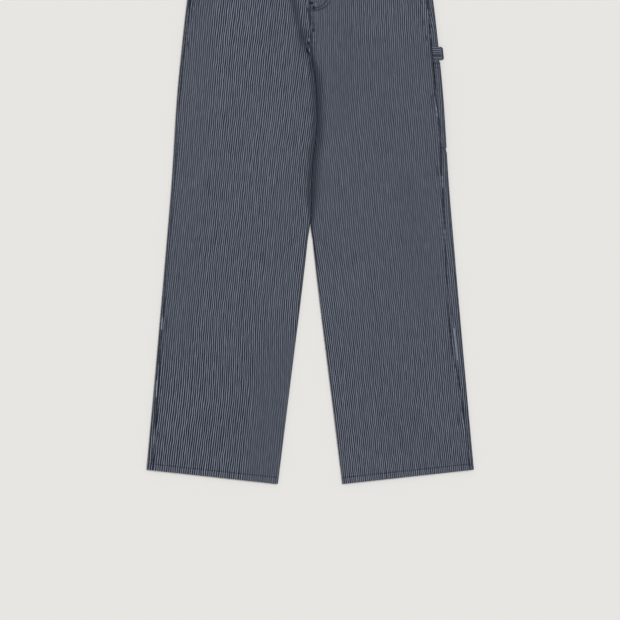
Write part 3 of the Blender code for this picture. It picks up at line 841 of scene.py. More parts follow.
Stripes = namedtuple("Stripes", "down pitch_right pitch_left bend_right bend_left")
STRIPES = table(
    Stripes,
    (0, 4.09, 3.80, 7.0, 27.0),
    (205, 4.09, 3.84, 7.0, 8.6),
    (277, 4.03, 3.91, 7.0, 3.4),
    (350, 3.95, 3.97, 7.0, 0.0),
    (566, 3.86, 3.97, 7.0, 0.0),
    (711, 3.88, 3.85, 7.0, 0.0),
    (783, 3.91, 3.77, 6.0, 0.0),
    (855, 4.01, 3.71, 3.0, 0.0),
    (927, 4.15, 3.69, 0.4, 0.0),
    (HEM_DOWN + HEM_LEAN, 4.18, 3.67, 0.0, 0.0),
)
stripe_pitch = on_sides(STRIPES, "pitch_")
stripe_bend = on_sides(STRIPES, "bend_")


def grain_on_leg(side, points):
    """The cloth's own coordinates in metres: across the stripes, and along them."""
    out, up = side * points[..., 0], points[..., 1]
    low = MIDDLE_DOWN - up / MM
    across = out * math.cos(GRAIN_SLANT) + up * math.sin(GRAIN_SLANT) - stripe_bend[side](low) * MM
    along = -out * math.sin(GRAIN_SLANT) + up * math.cos(GRAIN_SLANT)
    steps = np.diff(points, axis=1)
    beyond = np.linalg.norm(steps, axis=2) - np.sign(side) * steps[..., 0]
    inward = np.linalg.norm(steps, axis=2) + np.sign(side) * steps[..., 0]
    return across, along, beyond, inward


def laid_out(side, points, direction):
    """The cut cloth's coordinates, followed round the folds. direction is 1 outwards, -1 inwards."""
    across, along, beyond, inward = grain_on_leg(side, points)
    extra = beyond if direction == 1 else -inward
    extra = np.where(np.abs(extra) < 2e-6, 0.0, extra)
    extra = np.concatenate([np.zeros((len(points), 1)), np.cumsum(extra, axis=1)], axis=1)
    closer = STRIPE_PITCH / stripe_pitch[side](MIDDLE_DOWN - points[..., 1] / MM)
    return np.stack([LEG_CENTRE + (across + extra - LEG_CENTRE) * closer, along], axis=-1)


print("stripes slant", round(math.degrees(GRAIN_SLANT), 1), "degrees outwards, like the legs")


def denser_ends(count, bias=0.72):
    """Shares from 0 to 1 that crowd towards both ends."""
    t = np.linspace(0.0, 1.0, count + 1)
    return t - bias * np.sin(2 * math.pi * t) / (2 * math.pi)


def cloth(name, points, grain, wear_and_shade, wall, outward, bold=1.0):
    """A sheet through a table of points in metres, with its walls on the inner side."""
    rows, columns = points.shape[0] - 1, points.shape[1] - 1
    shape = bmesh.new()
    bmesh.ops.create_grid(shape, x_segments=columns, y_segments=rows, size=0.5)
    along_row = points[:-1, 1:] - points[:-1, :-1]
    along_column = points[1:, :-1] - points[:-1, :-1]
    if np.cross(along_row, along_column)[..., 2].sum() * outward < 0:
        bmesh.ops.reverse_faces(shape, faces=shape.faces)
    mesh = mesh_of(shape, name)
    flat = np.empty(len(mesh.vertices) * 3, np.float32)
    mesh.vertices.foreach_get("co", flat)
    flat = flat.reshape(-1, 3)
    row = np.rint((flat[:, 1] + 0.5) * rows).astype(int)
    column = np.rint((flat[:, 0] + 0.5) * columns).astype(int)
    mesh.vertices.foreach_set("co", points[row, column].astype(np.float32).ravel())
    corner_of = np.empty(len(mesh.loops), np.int32)
    mesh.loops.foreach_get("vertex_index", corner_of)
    cut = mesh.uv_layers.new(name="grain")
    cut.data.foreach_set("uv", grain[row, column][corner_of].astype(np.float32).ravel())
    # One value carries wear and painted shade together. The other sets how boldly the stripes show.
    for word, value in (("wear_and_shade", wear_and_shade), ("bold", bold)):
        values = mesh.attributes.new(word, "FLOAT", "POINT")
        spread = np.broadcast_to(value, points.shape[:2])[row, column]
        values.data.foreach_set("value", spread.astype(np.float32))
    mesh.shade_smooth()
    mesh.update()
    piece = carried(name, mesh)
    thick = piece.modifiers.new("cloth", "SOLIDIFY")
    thick.thickness = wall * MM
    thick.offset = -1.0
    thick.use_even_offset = True
    float(np.linalg.norm(np.cross(along_row, along_column), axis=2).sum())
    return piece


print("a sheet's columns crowd towards its edges:", np.round(denser_ends(4), 2))

# %% [markdown]
# ## The front panels
# A front panel runs from the slanting pocket mouth, and lower down from the side seam, to the fly and
# then round the inner fold to the inseam. Its rows are close together at the hem, where the cloth is
# turned up.

# %% Rows of a leg
RowBand = namedtuple("RowBand", "start end step")
ROW_BANDS = (
    RowBand(BAND_HEIGHT + SEAM_GAP, 172.0, 3.4),
    RowBand(172.0, 316.0, 1.6),
    RowBand(316.0, HEM_DOWN - 20.0, 3.4),
    RowBand(HEM_DOWN - 20.0, HEM_DOWN, 0.9),
)


def rows_in(band):
    return np.linspace(band.start, band.end, round((band.end - band.start) / band.step) + 1)[:-1]


LEG_ROWS = np.concatenate([rows_in(band) for band in ROW_BANDS] + [[HEM_DOWN]])
print("rows down a leg:", len(LEG_ROWS))


# %% Edges of the panels
def front_edge(side, down):
    """Where the front panel starts: at the pocket mouth, and below it at the side seam."""
    seam = side_seam[side](down) + SEAM_GAP / 2
    share = np.clip((MOUTH_END[side] - down) / (MOUTH_END[side] - BAND_HEIGHT), 0.0, 1.0)
    return seam + (MOUTH_FROM_FOLD - seam) * share


def fly_reach(side, down):
    """How far the front panel passes the centre seam along the fly."""
    over = 1 - ease(FLY_BOTTOM - 4, FLY_BOTTOM + 4, down)
    return (FLY_LAP if side == LEFT else FLY_UNDERLAP) * over


def seam_gap_at_fold(down):
    """The gap along the inseam, wider where the cloth twists at the fork."""
    return SEAM_GAP + (FORK_GAP - SEAM_GAP) * window(ROLL_FROM, 290, 306, 350, down)


def quarter(count):
    """A quarter turn and a short straight end, as (sine, cosine, straight, share of the way)."""
    angles = np.linspace(0.0, math.pi / 2, count + 1)[1:]
    on_the_way = np.arange(1, count + 1) / (count + 1)
    sine, cosine = np.append(np.sin(angles), 1.0), np.append(np.cos(angles), 0.0)
    return sine, cosine, np.append(np.zeros(count), 1.0), np.append(on_the_way, 1.0)


print("the left mouth starts", round(float(front_edge(LEFT, BAND_HEIGHT)), 1), "mm from the fold")

# %% Front panels
FLAT_COLUMNS = 74
QUARTER_STEPS = 9
EDGE_SETTLES = 0.3
MOUTH_EDGE = Line(-0.5, 1.0)
SEAM_EDGE = Line(-0.3, 1.0)
MOUTH_GROOVE = Line(-0.22, 1.1)
LAP_EDGE = Line(-0.45, 1.0)


def front_panel(side, word):
    down = LEG_ROWS[:, None]
    width = row_width(side, down)
    radius = inner_height[side](down) / 2
    start = front_edge(side, down)
    stop = width - radius + fly_reach(side, down)
    flat_part = start + (stop - start) * denser_ends(FLAT_COLUMNS)[None, :]
    heights = top_height(side, flat_part, down)
    # Wear, and painted shade in the grooves, folds and bands, on the flat part.
    wear_and_shade = fade_and_painted_shade(side, flat_part, down)

    at_mouth = down < MOUTH_END[side]
    from_edge = flat_part - start
    heights = heights + line_of(MOUTH_EDGE, from_edge) * at_mouth
    heights = heights + line_of(SEAM_EDGE, from_edge) * ~at_mouth
    for row_in in MOUTH_ROWS:
        heights = heights + line_of(MOUTH_GROOVE, from_edge - row_in) * at_mouth
    heights = heights + line_of(LAP_EDGE, flat_part - stop) * (down < FLY_BOTTOM) * (side == LEFT)

    sine, cosine, straight, share = quarter(QUARTER_STEPS)
    turned = roll(down)
    low_end = radius + seam_gap_at_fold(down) / 2
    flat_height = heights[:, -1:]
    round_drop = (flat_height - low_end - EDGE_SETTLES) * (1 - cosine) + EDGE_SETTLES * straight
    flat_to = stop + radius * share
    from_fold = flat_to + (stop + radius * sine - flat_to) * turned
    unrolled = top_height(side, flat_to, down)
    unrolled = np.where((down < FLY_BOTTOM) & (side == LEFT), flat_height, unrolled)
    edge_height = unrolled + (flat_height - round_drop - unrolled) * turned
    places = np.concatenate([flat_part, from_fold], axis=1)
    heights = np.concatenate([heights, edge_height], axis=1)
    # The rolled inner edge takes the painted shade of its place, but no darker than this.
    darkest = -TURNED_EDGE_SHADE - 0.35 * ease(590, 605, down)
    wear_and_shade = np.concatenate([wear_and_shade, np.maximum(fade_and_painted_shade(side, from_fold, down), darkest)], axis=1)
    points = place(side, places, down, heights, FRONT_DIP)
    bold = boldness(side, places, down)
    piece = cloth(f"panel_front_{word}", points, laid_out(side, points, -1), wear_and_shade, CLOTH, 1, bold)
    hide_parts(f"front_{word}")
    return piece


fronts = {side: front_panel(side, word) for side, word in SIDES}
print("front panels:", [len(p.data.polygons) for p in fronts.values()], "faces each")

# %% [markdown]
# ## The back panels
# A back panel starts at the inseam, lies on the ground under the leg, goes round the outer fold and
# ends at the side seam on the upper side. The seam lies a little in from the fold, more on the left
# leg.

# %% Back panels
UNDER_COLUMNS = 33
FOLD_COLUMNS = 15
STRIP_COLUMNS = 25
SHADED_FOLD_COLUMNS = 9
EDGE_UNEVEN = 0.25


def by_outer_fold(side, from_fold):
    """Painted shade just inside an outer fold, where the cloth turns away."""
    return OUTER_EDGE_SHADE[side] * (1 - ease(2.0, 6.0, from_fold))


def strip_relief(side, from_fold, down, dent_share):
    """The relief of the narrow strip between the side fold and the side seam."""
    x, low = across_at(side, from_fold, down)
    relief = side_seam_relief(side, from_fold - side_seam[side](down), down)
    relief = relief + hem_relief(HEM_DOWN - down, x, 2.0 + side) + dent_share * dents(side, x, low)
    return relief * ease(0.5, 3.0, from_fold)


def back_panel(side, word):
    down = LEG_ROWS[:, None]
    width = row_width(side, down)
    radius = inner_height[side](down) / 2
    stop = width - radius
    turned = roll(down)
    sine, cosine, straight, share = (part[::-1] for part in quarter(QUARTER_STEPS))
    flat_to = stop + radius * share
    high_end = radius - seam_gap_at_fold(down) / 2
    near_seam = flat_to + (stop + radius * sine - flat_to) * turned
    near_seam_height = turned * ((high_end - EDGE_SETTLES) * (1 - cosine) + EDGE_SETTLES * straight)

    drawn_in = inset(side, down)
    low = underlay(side, drawn_in, down)
    high = fold_height[side](down)
    fold = (high - low) / 2
    under_leg = stop + (drawn_in + fold - stop) * shares(UNDER_COLUMNS)
    under_height = underlay(side, under_leg, down)
    angle = math.pi * shares(FOLD_COLUMNS, 1)
    round_fold = drawn_in + fold * (1 - np.sin(angle))
    round_height = low + fold * (1 - np.cos(angle))
    seam = side_seam[side](down) - SEAM_GAP / 2
    strip = drawn_in + fold + (seam - drawn_in - fold) * shares(STRIP_COLUMNS, 1)
    strip_height = base_height(side, strip, down) + strip_relief(side, strip, down, DENT_HEIGHT)
    strip_height = strip_height + line_of(SEAM_EDGE, strip - seam)

    places = np.concatenate([near_seam, under_leg, round_fold, strip], axis=1)
    heights = np.concatenate([near_seam_height, under_height, round_height, strip_height], axis=1)
    heights = heights * np.ones_like(places)
    wear_and_shade = np.zeros_like(places)
    strip_from = -strip.shape[1]
    # Painted shade on the outer fold, where the cloth turns away, with an uneven touch. The strip gets
    # painted shade in its grooves and dents, and more near the fold.
    wear_and_shade[:, strip_from - SHADED_FOLD_COLUMNS : strip_from] = EDGE_UNEVEN * uneven(down, 14.0, 5.0)
    wear_and_shade[:, strip_from - SHADED_FOLD_COLUMNS : strip_from] -= OUTER_EDGE_SHADE[side]
    wear_and_shade[:, strip_from:] = strip_relief(side, strip, down, STROKE_SHADE)
    wear_and_shade[:, strip_from:] += paler_seam(side, strip, down) - by_outer_fold(side, strip)
    points = place(side, places, down, heights, -BACK_RISE)
    bold = boldness(side, places, down)
    piece = cloth(f"panel_back_{word}", points, laid_out(side, points, 1), wear_and_shade, CLOTH, -1, bold)
    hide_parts(f"back_{word}")
    return piece


backs = {side: back_panel(side, word) for side, word in SIDES}
print("back panels:", [len(p.data.polygons) for p in backs.values()], "faces each")

# %% [markdown]
# ## The hip facings
# Behind each slanting pocket mouth lies a facing of the same cloth, sewn to the side seam and the band.
# The front panel's edge lies on it. The pocket bags behind are hidden and are left out.

# %% Hip facings
FACING_COLUMNS = 31
FACING_EDGE = 0.6
FACING_RELIEF = 0.6


def hip_facing(side, word):
    down = LEG_ROWS[LEG_ROWS <= MOUTH_END[side]][:, None]
    start = side_seam[side](down) + SEAM_GAP / 2
    mouth = front_edge(side, down)
    stop = mouth + FACING_UNDERLAP
    closing = 1 - ease(4, 20, mouth - start)
    from_fold = start + (stop - start) * shares(FACING_COLUMNS)
    tucked = ease(start, start + (mouth - start) * 0.6 + 0.1, from_fold)
    drop = (CLOTH + LAYER_GAP) * np.maximum(tucked, closing)
    relief = top_relief(side, from_fold, down) * (1 - ease(-6, 0, from_fold - mouth))
    edge = FACING_EDGE * beside(from_fold - start, 1.0) * (1 - closing)
    heights = base_height(side, from_fold, down) - drop + relief * FACING_RELIEF - edge
    points = place(side, from_fold, down, heights, FRONT_DIP)
    # The relief doubles as wear and painted shade: ridges paler, grooves darkened.
    piece = cloth(f"facing_{word}", points, laid_out(side, points, -1), relief, CLOTH, 1)
    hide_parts(f"hip_facing_{word}")
    return piece


facings = {side: hip_facing(side, word) for side, word in SIDES}
print("facings reach down to", MOUTH_END, "mm")

# %% [markdown]
# ## The waistband
# The waistband is a folded strip, about 2.4 mm thick and 4 cm high. Its left front end laps over the
# right one, with a button and a buttonhole. The stripes run along it, because it is cut along the
# cloth.

# %% Front bands
BAND_ROWS = np.linspace(0.0, BAND_HEIGHT, 25)
BAND_STITCH_IN = 2.5
BAND_COLUMNS = 110
BAND_EDGE = Line(-0.45, 0.9)
BAND_GROOVE = Line(-0.25, 0.9)
BAND_PUCKER = Pucker(0.16, 10.0, 4.0)
BAND_END = Line(-0.4, 0.9)


def band_relief(down, across, seed):
    """Rounded long edges, two stitched grooves, and puckers beside them."""
    from_edge = np.minimum(down, BAND_HEIGHT - down)
    relief = line_of(BAND_EDGE, from_edge) + line_of(BAND_GROOVE, from_edge - BAND_STITCH_IN)
    return relief + puckers(BAND_PUCKER, across, from_edge - 5.0, seed)


def running(steps):
    """The length so far at each point, from the steps between the points."""
    return np.concatenate([[0.0], np.cumsum(steps)])


def lengthwise(points, across):
    """The grain of a strip that is cut along the cloth. across is in millimetres."""
    steps = np.linalg.norm(np.diff(points, axis=1), axis=2).mean(axis=0)
    along = running(steps)[None, :] * np.ones((len(points), 1))
    return np.stack([across * MM * np.ones_like(along), along], axis=-1)


def band_grain(points):
    """Stripes run along the band."""
    return lengthwise(points, BAND_ROWS[:, None])


def band_lift(side, from_meeting):
    """The left front band lies over the right one."""
    if side == RIGHT:
        return 0.0 * from_meeting
    reach = 1 - ease(BAND_UNDERLAP + 4, BAND_UNDERLAP + 26, from_meeting)
    return (BAND_WALL + LAYER_GAP) * reach


def front_band(side, word):
    down = BAND_ROWS[:, None]
    width = row_width(side, down)
    start = side_seam[side](down) + SEAM_GAP / 2
    stop = width + (BAND_LAP if side == LEFT else BAND_UNDERLAP)
    from_fold = start + (stop - start) * denser_ends(BAND_COLUMNS, 0.5)[None, :]
    relief = band_relief(down, from_fold, 3.0 + side)
    heights = BAND_STACK + relief
    for end in (stop, start):
        heights = heights + line_of(BAND_END, from_fold - end)
    heights = heights + band_lift(side, width - from_fold)
    points = place(side, from_fold, down, heights, FRONT_DIP)
    # The relief doubles as wear and painted shade: ridges paler, grooves darkened.
    piece = cloth(f"band_front_{word}", points, band_grain(points), relief, BAND_WALL, 1)
    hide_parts(f"waistband_front_{word}")
    return piece


band_fronts = {side: front_band(side, word) for side, word in SIDES}
print("front bands:", [len(p.data.polygons) for p in band_fronts.values()], "faces each")

# %% Buttonhole
BUTTONHOLE_LONG = 14.0
BUTTONHOLE_HALF = 1.85


def hole_place():
    """Where the shank passes the band, in metres."""
    return float(middle(0.0)) * MM, (MIDDLE_DOWN - BAND_HEIGHT / 2 - FRONT_DIP) * MM


def cut_buttonhole(band):
    """Opens a slot from the shank away from the band's end."""
    at_x, at_y = hole_place()
    shape = bmesh.new()
    shape.from_mesh(band.data)
    slot = []
    for face in shape.faces:
        centre = face.calc_center_median()
        along, off = (centre.x - at_x) / MM, abs(centre.y - at_y)
        if -BUTTONHOLE_HALF < along < BUTTONHOLE_LONG - BUTTONHOLE_HALF and off < BUTTONHOLE_HALF * MM:
            slot.append(face)
    bmesh.ops.delete(shape, geom=slot, context="FACES")
    shape.to_mesh(band.data)
    shape.free()
    print("buttonhole:", len(slot), "faces opened")


cut_buttonhole(band_fronts[LEFT])


# %% Back band
def back_band_half(side):
    """Half of the back band's section, from the centre back round the fold to the side seam."""
    down = BAND_ROWS[:, None]
    width = row_width(side, down) + SEAM_GAP / 2
    radius = BAND_STACK / 2
    under = width + (radius - width) * shares(40)
    angle = math.pi * shares(13, 1)
    folded = radius * (1 - np.sin(angle)) * np.ones_like(down)
    end = radius + (side_seam[side](down) - SEAM_GAP / 2 - radius) * shares(6, 1)
    places = np.concatenate([under, folded, end], axis=1)
    top = BAND_STACK + band_relief(down, end, 5.0) + line_of(BAND_END, end - end[:, -1:])
    round_up = radius * (1 - np.cos(angle)) * np.ones_like(down)
    heights = np.concatenate([np.zeros_like(under), round_up, top], axis=1)
    return place(side, places, down, heights, -BACK_RISE)


back_points = np.concatenate([back_band_half(RIGHT)[:, :0:-1], back_band_half(LEFT)], axis=1)
band_back = cloth("band_back", back_points, band_grain(back_points), 0.0, BAND_WALL, -1)
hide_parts("waistband_back")
print("waistband:", round(float(np.ptp(back_points[..., 0])) * 1000), "mm across")

# %% [markdown]
# ## The tool pocket and the hammer loop
# Both are caught in the left side seam, go round the outer fold and carry on under the leg. The pocket
# lies close on the back panel. The loop is a doubled strap that stands out past the leg, folded flat.

# %% Tool pocket
POCKET_ROW_COUNT = 83
POCKET_STRIP_COLUMNS = 14
POCKET_TOP_EDGE = Line(-0.8, 1.6)
POCKET_BOTTOM_EDGE = Line(-0.3, 1.2)
POCKET_GROOVE = Line(-0.6, 1.3)
POCKET_RIDGE = Line(0.5, 1.3)
POCKET_PUCKER = Pucker(0.3, 12.0, 4.0)
POCKET_SEAM = Line(-0.5, 1.4)


def tool_pocket():
    down = np.linspace(POCKET_TOP, POCKET_BOTTOM, POCKET_ROW_COUNT)[:, None]
    high = fold_height[LEFT](down) + POCKET_LIFT
    radius = high / 2
    seam = side_seam[LEFT](down) - SEAM_GAP / 2
    strip = seam + (radius - seam) * shares(POCKET_STRIP_COLUMNS)
    angle = math.pi * shares(14, 1)
    folded = radius * (1 - np.sin(angle))
    under = radius + (REACH_UNDER_LEG - radius) * shares(16, 1)
    from_top, from_bottom = down - POCKET_TOP, POCKET_BOTTOM - down
    relief = line_of(POCKET_TOP_EDGE, from_top) + line_of(POCKET_BOTTOM_EDGE, from_bottom)
    for row_in in POCKET_ROWS:
        relief = relief + line_of(POCKET_GROOVE, from_top - row_in)
    relief = relief + line_of(POCKET_RIDGE, from_bottom - 3.0) + line_of(POCKET_SEAM, strip - seam)
    relief = relief + puckers(POCKET_PUCKER, down, strip - seam, 2.0)
    dent = dents(LEFT, *across_at(LEFT, strip, down))
    top = high + relief + DENT_HEIGHT * dent
    places = np.concatenate([strip, folded, under], axis=1)
    heights = np.concatenate([top, radius * (1 + np.cos(angle)), np.zeros_like(under)], axis=1)
    points = place(LEFT, places, down, heights, 0.0)
    wear_and_shade = np.zeros(points.shape[:2])
    fold_from = POCKET_STRIP_COLUMNS
    # Painted shade in the strip's grooves and dents, near the fold, and on the fold itself.
    wear_and_shade[:, :fold_from] = relief + STROKE_SHADE * dent - by_outer_fold(LEFT, strip)
    wear_and_shade[:, fold_from : fold_from + SHADED_FOLD_COLUMNS] = -OUTER_EDGE_SHADE[LEFT]
    piece = cloth("pocket", points, laid_out(LEFT, points[:, ::-1], 1)[:, ::-1], wear_and_shade, CLOTH, -1)
    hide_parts("tool_pocket")
    return piece


pocket = tool_pocket()
print("tool pocket:", POCKET_BOTTOM - POCKET_TOP, "mm long")


# %% Hammer loop
LOOP_CREASE = -2.4
LOOP_TURNS_UNDER = 16.0
LOOP_SLIPS_UP = 1.6
LOOP_CORNER = 2.2
LOOP_PLAIN_AT = 9.6
LOOP_DROPS = ((-2.8, 0.35), (-3.2, 1.1), (-3.9, 2.1), (-4.9, 3.2), (-6.0, 4.2))
LOOP_TOP_POINTS = 13
LOOP_TIP = 2.4
LOOP_TIP_FROM = math.radians(35)
LOOP_EDGE = Line(-0.4, 1.0)
LOOP_RIDGE = Line(0.15, 1.2)
LOOP_GROOVE = Line(-0.15, 0.9)
LOOP_SHADE_LINE = Line(1.5, 1.1)
LOOP_STITCH_ROWS = (2.2, LOOP_TURNS_UNDER - 3.0)


def loop_section():
    """The strap's outer surface: out from the side seam, creased, folded back and under the leg."""
    high = float(fold_height[LEFT](LOOP_TOP + LOOP_WIDTH / 2)) + LAYER_GAP + LOOP_WALL
    seam = float(side_seam[LEFT](LOOP_TOP + LOOP_WIDTH / 2)) - SEAM_GAP / 2
    top = [(seam + (LOOP_CREASE - seam) * t, high) for t in np.linspace(0.0, 1.0, LOOP_TOP_POINTS)]
    top += [(out, high - drop) for out, drop in LOOP_DROPS]
    centre = LOOP_TIP - LOOP_STANDS_OUT
    angle = np.linspace(LOOP_TIP_FROM, math.pi, 9)
    tip_part = list(zip(centre - LOOP_TIP * np.sin(angle), LOOP_TIP * (1 + np.cos(angle))))
    under = [(centre + (REACH_UNDER_LEG - centre) * t, 0.0) for t in np.linspace(0.0, 1.0, 12)[1:]]
    section = np.array(top + tip_part + under)
    return section[None, :, 0], section[None, :, 1]


print("loop's section:", loop_section()[0].size, "points")


# %% The loop's strap
def hammer_loop():
    """The strap lies a little askew, so its lower edge rolls under. Its far end and the line where it rolls
    under get painted shade.
    """
    share = np.linspace(0.0, 1.0, 31)
    down = (LOOP_TOP + LOOP_WIDTH * share)[:, None]
    places, heights = loop_section()
    below = down - LOOP_TOP
    down = down - LOOP_SLIPS_UP
    from_edge = np.minimum(below, LOOP_WIDTH - below)
    on_top = ease(3.0, 5.0, heights)
    rolled = ease(LOOP_TURNS_UNDER - 0.6, LOOP_TURNS_UNDER + 1.4, below)
    relief = line_of(LOOP_EDGE, from_edge) - 1.5 * rolled - 0.4 * ease(LOOP_TURNS_UNDER, LOOP_WIDTH, below)
    relief = relief + line_of(LOOP_RIDGE, below - LOOP_TURNS_UNDER + 2.2)
    for row_in in LOOP_STITCH_ROWS:
        relief = relief + line_of(LOOP_GROOVE, below - row_in)
    relief = relief * on_top
    # Painted shade past the crease, deeper towards the tip and at its corners, and a painted dark line
    # where the strap rolls under.
    past_crease = 1 - ease(LOOP_CREASE - 0.8, LOOP_CREASE, places)
    deep = 1 - ease(LOOP_CREASE - 3.0, LOOP_CREASE - 1.4, places)
    corner = 1 - ease(0.0, 2.6, from_edge)
    shade = (0.75 * past_crease + 0.65 * deep + 0.7 * corner * past_crease) * (heights > 0.5)
    at_roll = 0.15 * rolled + line_of(LOOP_SHADE_LINE, below - LOOP_TURNS_UNDER - 0.6)
    shade = shade + at_roll * (1 - past_crease)
    by_tip = (1 - ease(-8.0, -4.0, places)) * (1 - ease(8.0, 20.0, places))
    places = places + LOOP_CORNER * corner * by_tip
    points = place(LEFT, places, down, heights + relief, 0.0)
    # Past the crease the stripes are held at one place of the grain, so the painted shade there shows
    # plain.
    plain = past_crease * (heights > 0.5)
    grain = lengthwise(points, below * (1 - plain) + LOOP_PLAIN_AT * plain)
    piece = cloth("loop", points, grain, 0.25 - shade, LOOP_WALL, -1)
    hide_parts("hammer_loop")
    return piece


loop = hammer_loop()
print("loop strap:", LOOP_WIDTH, "mm wide, standing out", LOOP_STANDS_OUT, "mm")

# %% [markdown]
# ## The button
# A metal work button is a dished disc with a raised rim on a short shank. Its outline is spun round its
# axis, as it would be turned or pressed in real life. The solid has the same outline with fewer steps.

# %% Button
SHANK_RADIUS = 1.5
BUTTON_STEPS = 48
BUTTON_OUTLINE = (
    (0.0, 2.30),
    (2.2, 2.30),
    (2.8, 2.05),
    (4.6, 2.00),
    (5.6, 1.80),
    (6.3, 1.95),
    (6.9, 2.45),
    (7.5, 2.50),
    (8.1, 2.25),
    (8.45, 1.70),
    (8.5, 1.20),
    (8.3, 0.55),
    (8.0, 0.20),
    (2.1, 0.0),
    (SHANK_RADIUS, -0.6),
)


def waist_button():
    head = BAND_STACK + BAND_WALL + 2 * LAYER_GAP
    foot = BAND_STACK + LAYER_GAP - head
    shape = bmesh.new()
    profile = BUTTON_OUTLINE + ((SHANK_RADIUS, foot), (0.0, foot))
    outline = [shape.verts.new((radius * MM, 0.0, height * MM)) for radius, height in profile]
    edges = [shape.edges.new(pair) for pair in zip(outline, outline[1:])]
    turn = {"cent": (0.0, 0.0, 0.0), "axis": (0.0, 0.0, 1.0), "angle": 2 * math.pi}
    bmesh.ops.spin(shape, geom=outline + edges, **turn, steps=BUTTON_STEPS, use_merge=True)
    bmesh.ops.remove_doubles(shape, verts=shape.verts, dist=0.00001)
    bmesh.ops.recalc_face_normals(shape, faces=shape.faces)
    bmesh.ops.translate(shape, verts=shape.verts, vec=(*hole_place(), head * MM))
    mesh = mesh_of(shape, "button")
    mesh.shade_smooth()
    mesh.set_sharp_from_angle(angle=math.radians(50))
    piece = carried("button", mesh)
    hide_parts("waist_button")
    return piece


button = waist_button()
print("button:", len(button.data.polygons), "faces")

# %% [markdown]
# ## The stitches
# A sewing machine leaves a row of short thread lengths that dip into the cloth at both ends. One small
# capsule is shaped once, then set along each row on the sheet's own surface. The rows are: the fly's
# double curve, the centre seam, both hems, the pocket mouths, the waistband, the tool pocket and the
# loop.

# %% A stitch and a row of them
STITCH_LONG = 2.9
STITCH_STEP = 3.5
THREAD = 0.34
STITCH_LIFT = 0.14


def stitch_template():
    shape = bmesh.new()
    bmesh.ops.create_uvsphere(shape, u_segments=6, v_segments=5, radius=1.0)
    bmesh.ops.rotate(shape, verts=shape.verts, matrix=Matrix.Rotation(math.pi / 2, 3, "Y"))
    for vertex in shape.verts:
        end = abs(vertex.co.x)
        vertex.co.z -= 0.9 * end**3
    bmesh.ops.scale(shape, verts=shape.verts, vec=(STITCH_LONG / 2 * MM, THREAD * MM, THREAD * MM))
    return mesh_of(shape, "stitch")


one_stitch = stitch_template()
print("one stitch:", len(one_stitch.polygons), "faces")


# %% Sewing a row
def sew(name, rows):
    """A piece made of stitches along rows of points in metres, each an array of x, y, z."""
    shape = bmesh.new()
    count = 0
    for row in rows:
        reach = running(np.linalg.norm(np.diff(row, axis=0), axis=1))

        def along(distances):
            return np.stack([np.interp(distances, reach, row[:, k]) for k in range(3)], axis=1)

        middles = np.arange(STITCH_STEP * MM / 2, reach[-1], STITCH_STEP * MM)
        headings = along(middles + 0.5 * MM) - along(middles - 0.5 * MM)
        for at, heading in zip(along(middles), headings):
            x_axis = Vector(heading).normalized()
            y_axis = Vector((0.0, 0.0, 1.0)).cross(x_axis).normalized()
            z_axis = x_axis.cross(y_axis)
            turn = Matrix((x_axis, y_axis, z_axis)).transposed().to_4x4()
            set_at = Matrix.Translation(Vector(at)) @ turn
            one_stitch.transform(set_at)
            shape.from_mesh(one_stitch)
            one_stitch.transform(set_at.inverted())
            count += 1
    mesh = mesh_of(shape, name)
    mesh.shade_smooth()
    print(f"{name}: {count} stitches")
    return carried(name, mesh)


def satin(points, across):
    """Rows of one stitch each, lying across a line of points, as in a bar tack or round a buttonhole."""
    half = np.asarray(across, float) * 0.52 * STITCH_STEP * MM
    return [np.array([point - half, point + half]) for point in points]


def on_front(side, from_fold, down, lift=STITCH_LIFT):
    """A row of points on the front's surface."""
    from_fold, down = np.broadcast_arrays(np.asarray(from_fold, float), np.asarray(down, float))
    heights = top_height(side, from_fold, down) + lift
    return place(side, from_fold, down, heights, FRONT_DIP)


print("stitches are", STITCH_STEP, "mm apart")


# %% Fly, centre seam and pocket mouths
def fly_path(row):
    """Down from the waistband, then round to the centre."""
    straight = np.linspace(BAND_HEIGHT + 1.0, FLY_TURNS_AT, 60)
    angle = np.linspace(0.0, math.radians(87), 60)[1:]
    power = 2 / FLY_TURN_SQUARENESS
    from_lap = np.concatenate([np.full(60, row.out), row.out * np.cos(angle) ** power])
    drop = (row.end - FLY_TURNS_AT) * np.sin(angle) ** power
    down = np.concatenate([straight, FLY_TURNS_AT + drop])
    return on_front(LEFT, row_width(LEFT, down) + FLY_LAP - from_lap, down)


fly_paths = [fly_path(row) for row in FLY_ROWS]
seam_down = np.linspace(FLY_ROWS[0].end + 2, 268.0, 60)
centre_paths = [on_front(LEFT, row_width(LEFT, seam_down) - out, seam_down) for out in CENTRE_ROWS]
stitches_fly = sew("stitches_fly", fly_paths + centre_paths)


TACK_LIFT = 0.4
TACK_DOWN = 180.5
TACK_X = (-1.6, 4.6)
UPRIGHT_TACK_X = 6.7
UPRIGHT_TACK_DOWN = (186.4, 191.4)


def bar_tacks():
    """Two dense bars of thread that lock the end of the fly, one level and one upright."""
    level = on_front(LEFT, half_width(TACK_DOWN) - np.linspace(*TACK_X, 10), TACK_DOWN, TACK_LIFT)
    drop = np.linspace(*UPRIGHT_TACK_DOWN, 8)
    upright = on_front(LEFT, half_width(drop) - UPRIGHT_TACK_X, drop, TACK_LIFT)
    return satin(level, (0, 1, 0)) + satin(upright, (1, 0, 0))


stitches_tacks = sew("stitches_tacks", bar_tacks())


def mouth_row(side, row_in):
    down = np.linspace(BAND_HEIGHT + 1.0, MOUTH_END[side] - 3.0, 60)
    return on_front(side, front_edge(side, down) + row_in, down)


stitches_mouths = sew("stitches_mouths", [mouth_row(side, n) for side, _ in SIDES for n in MOUTH_ROWS])


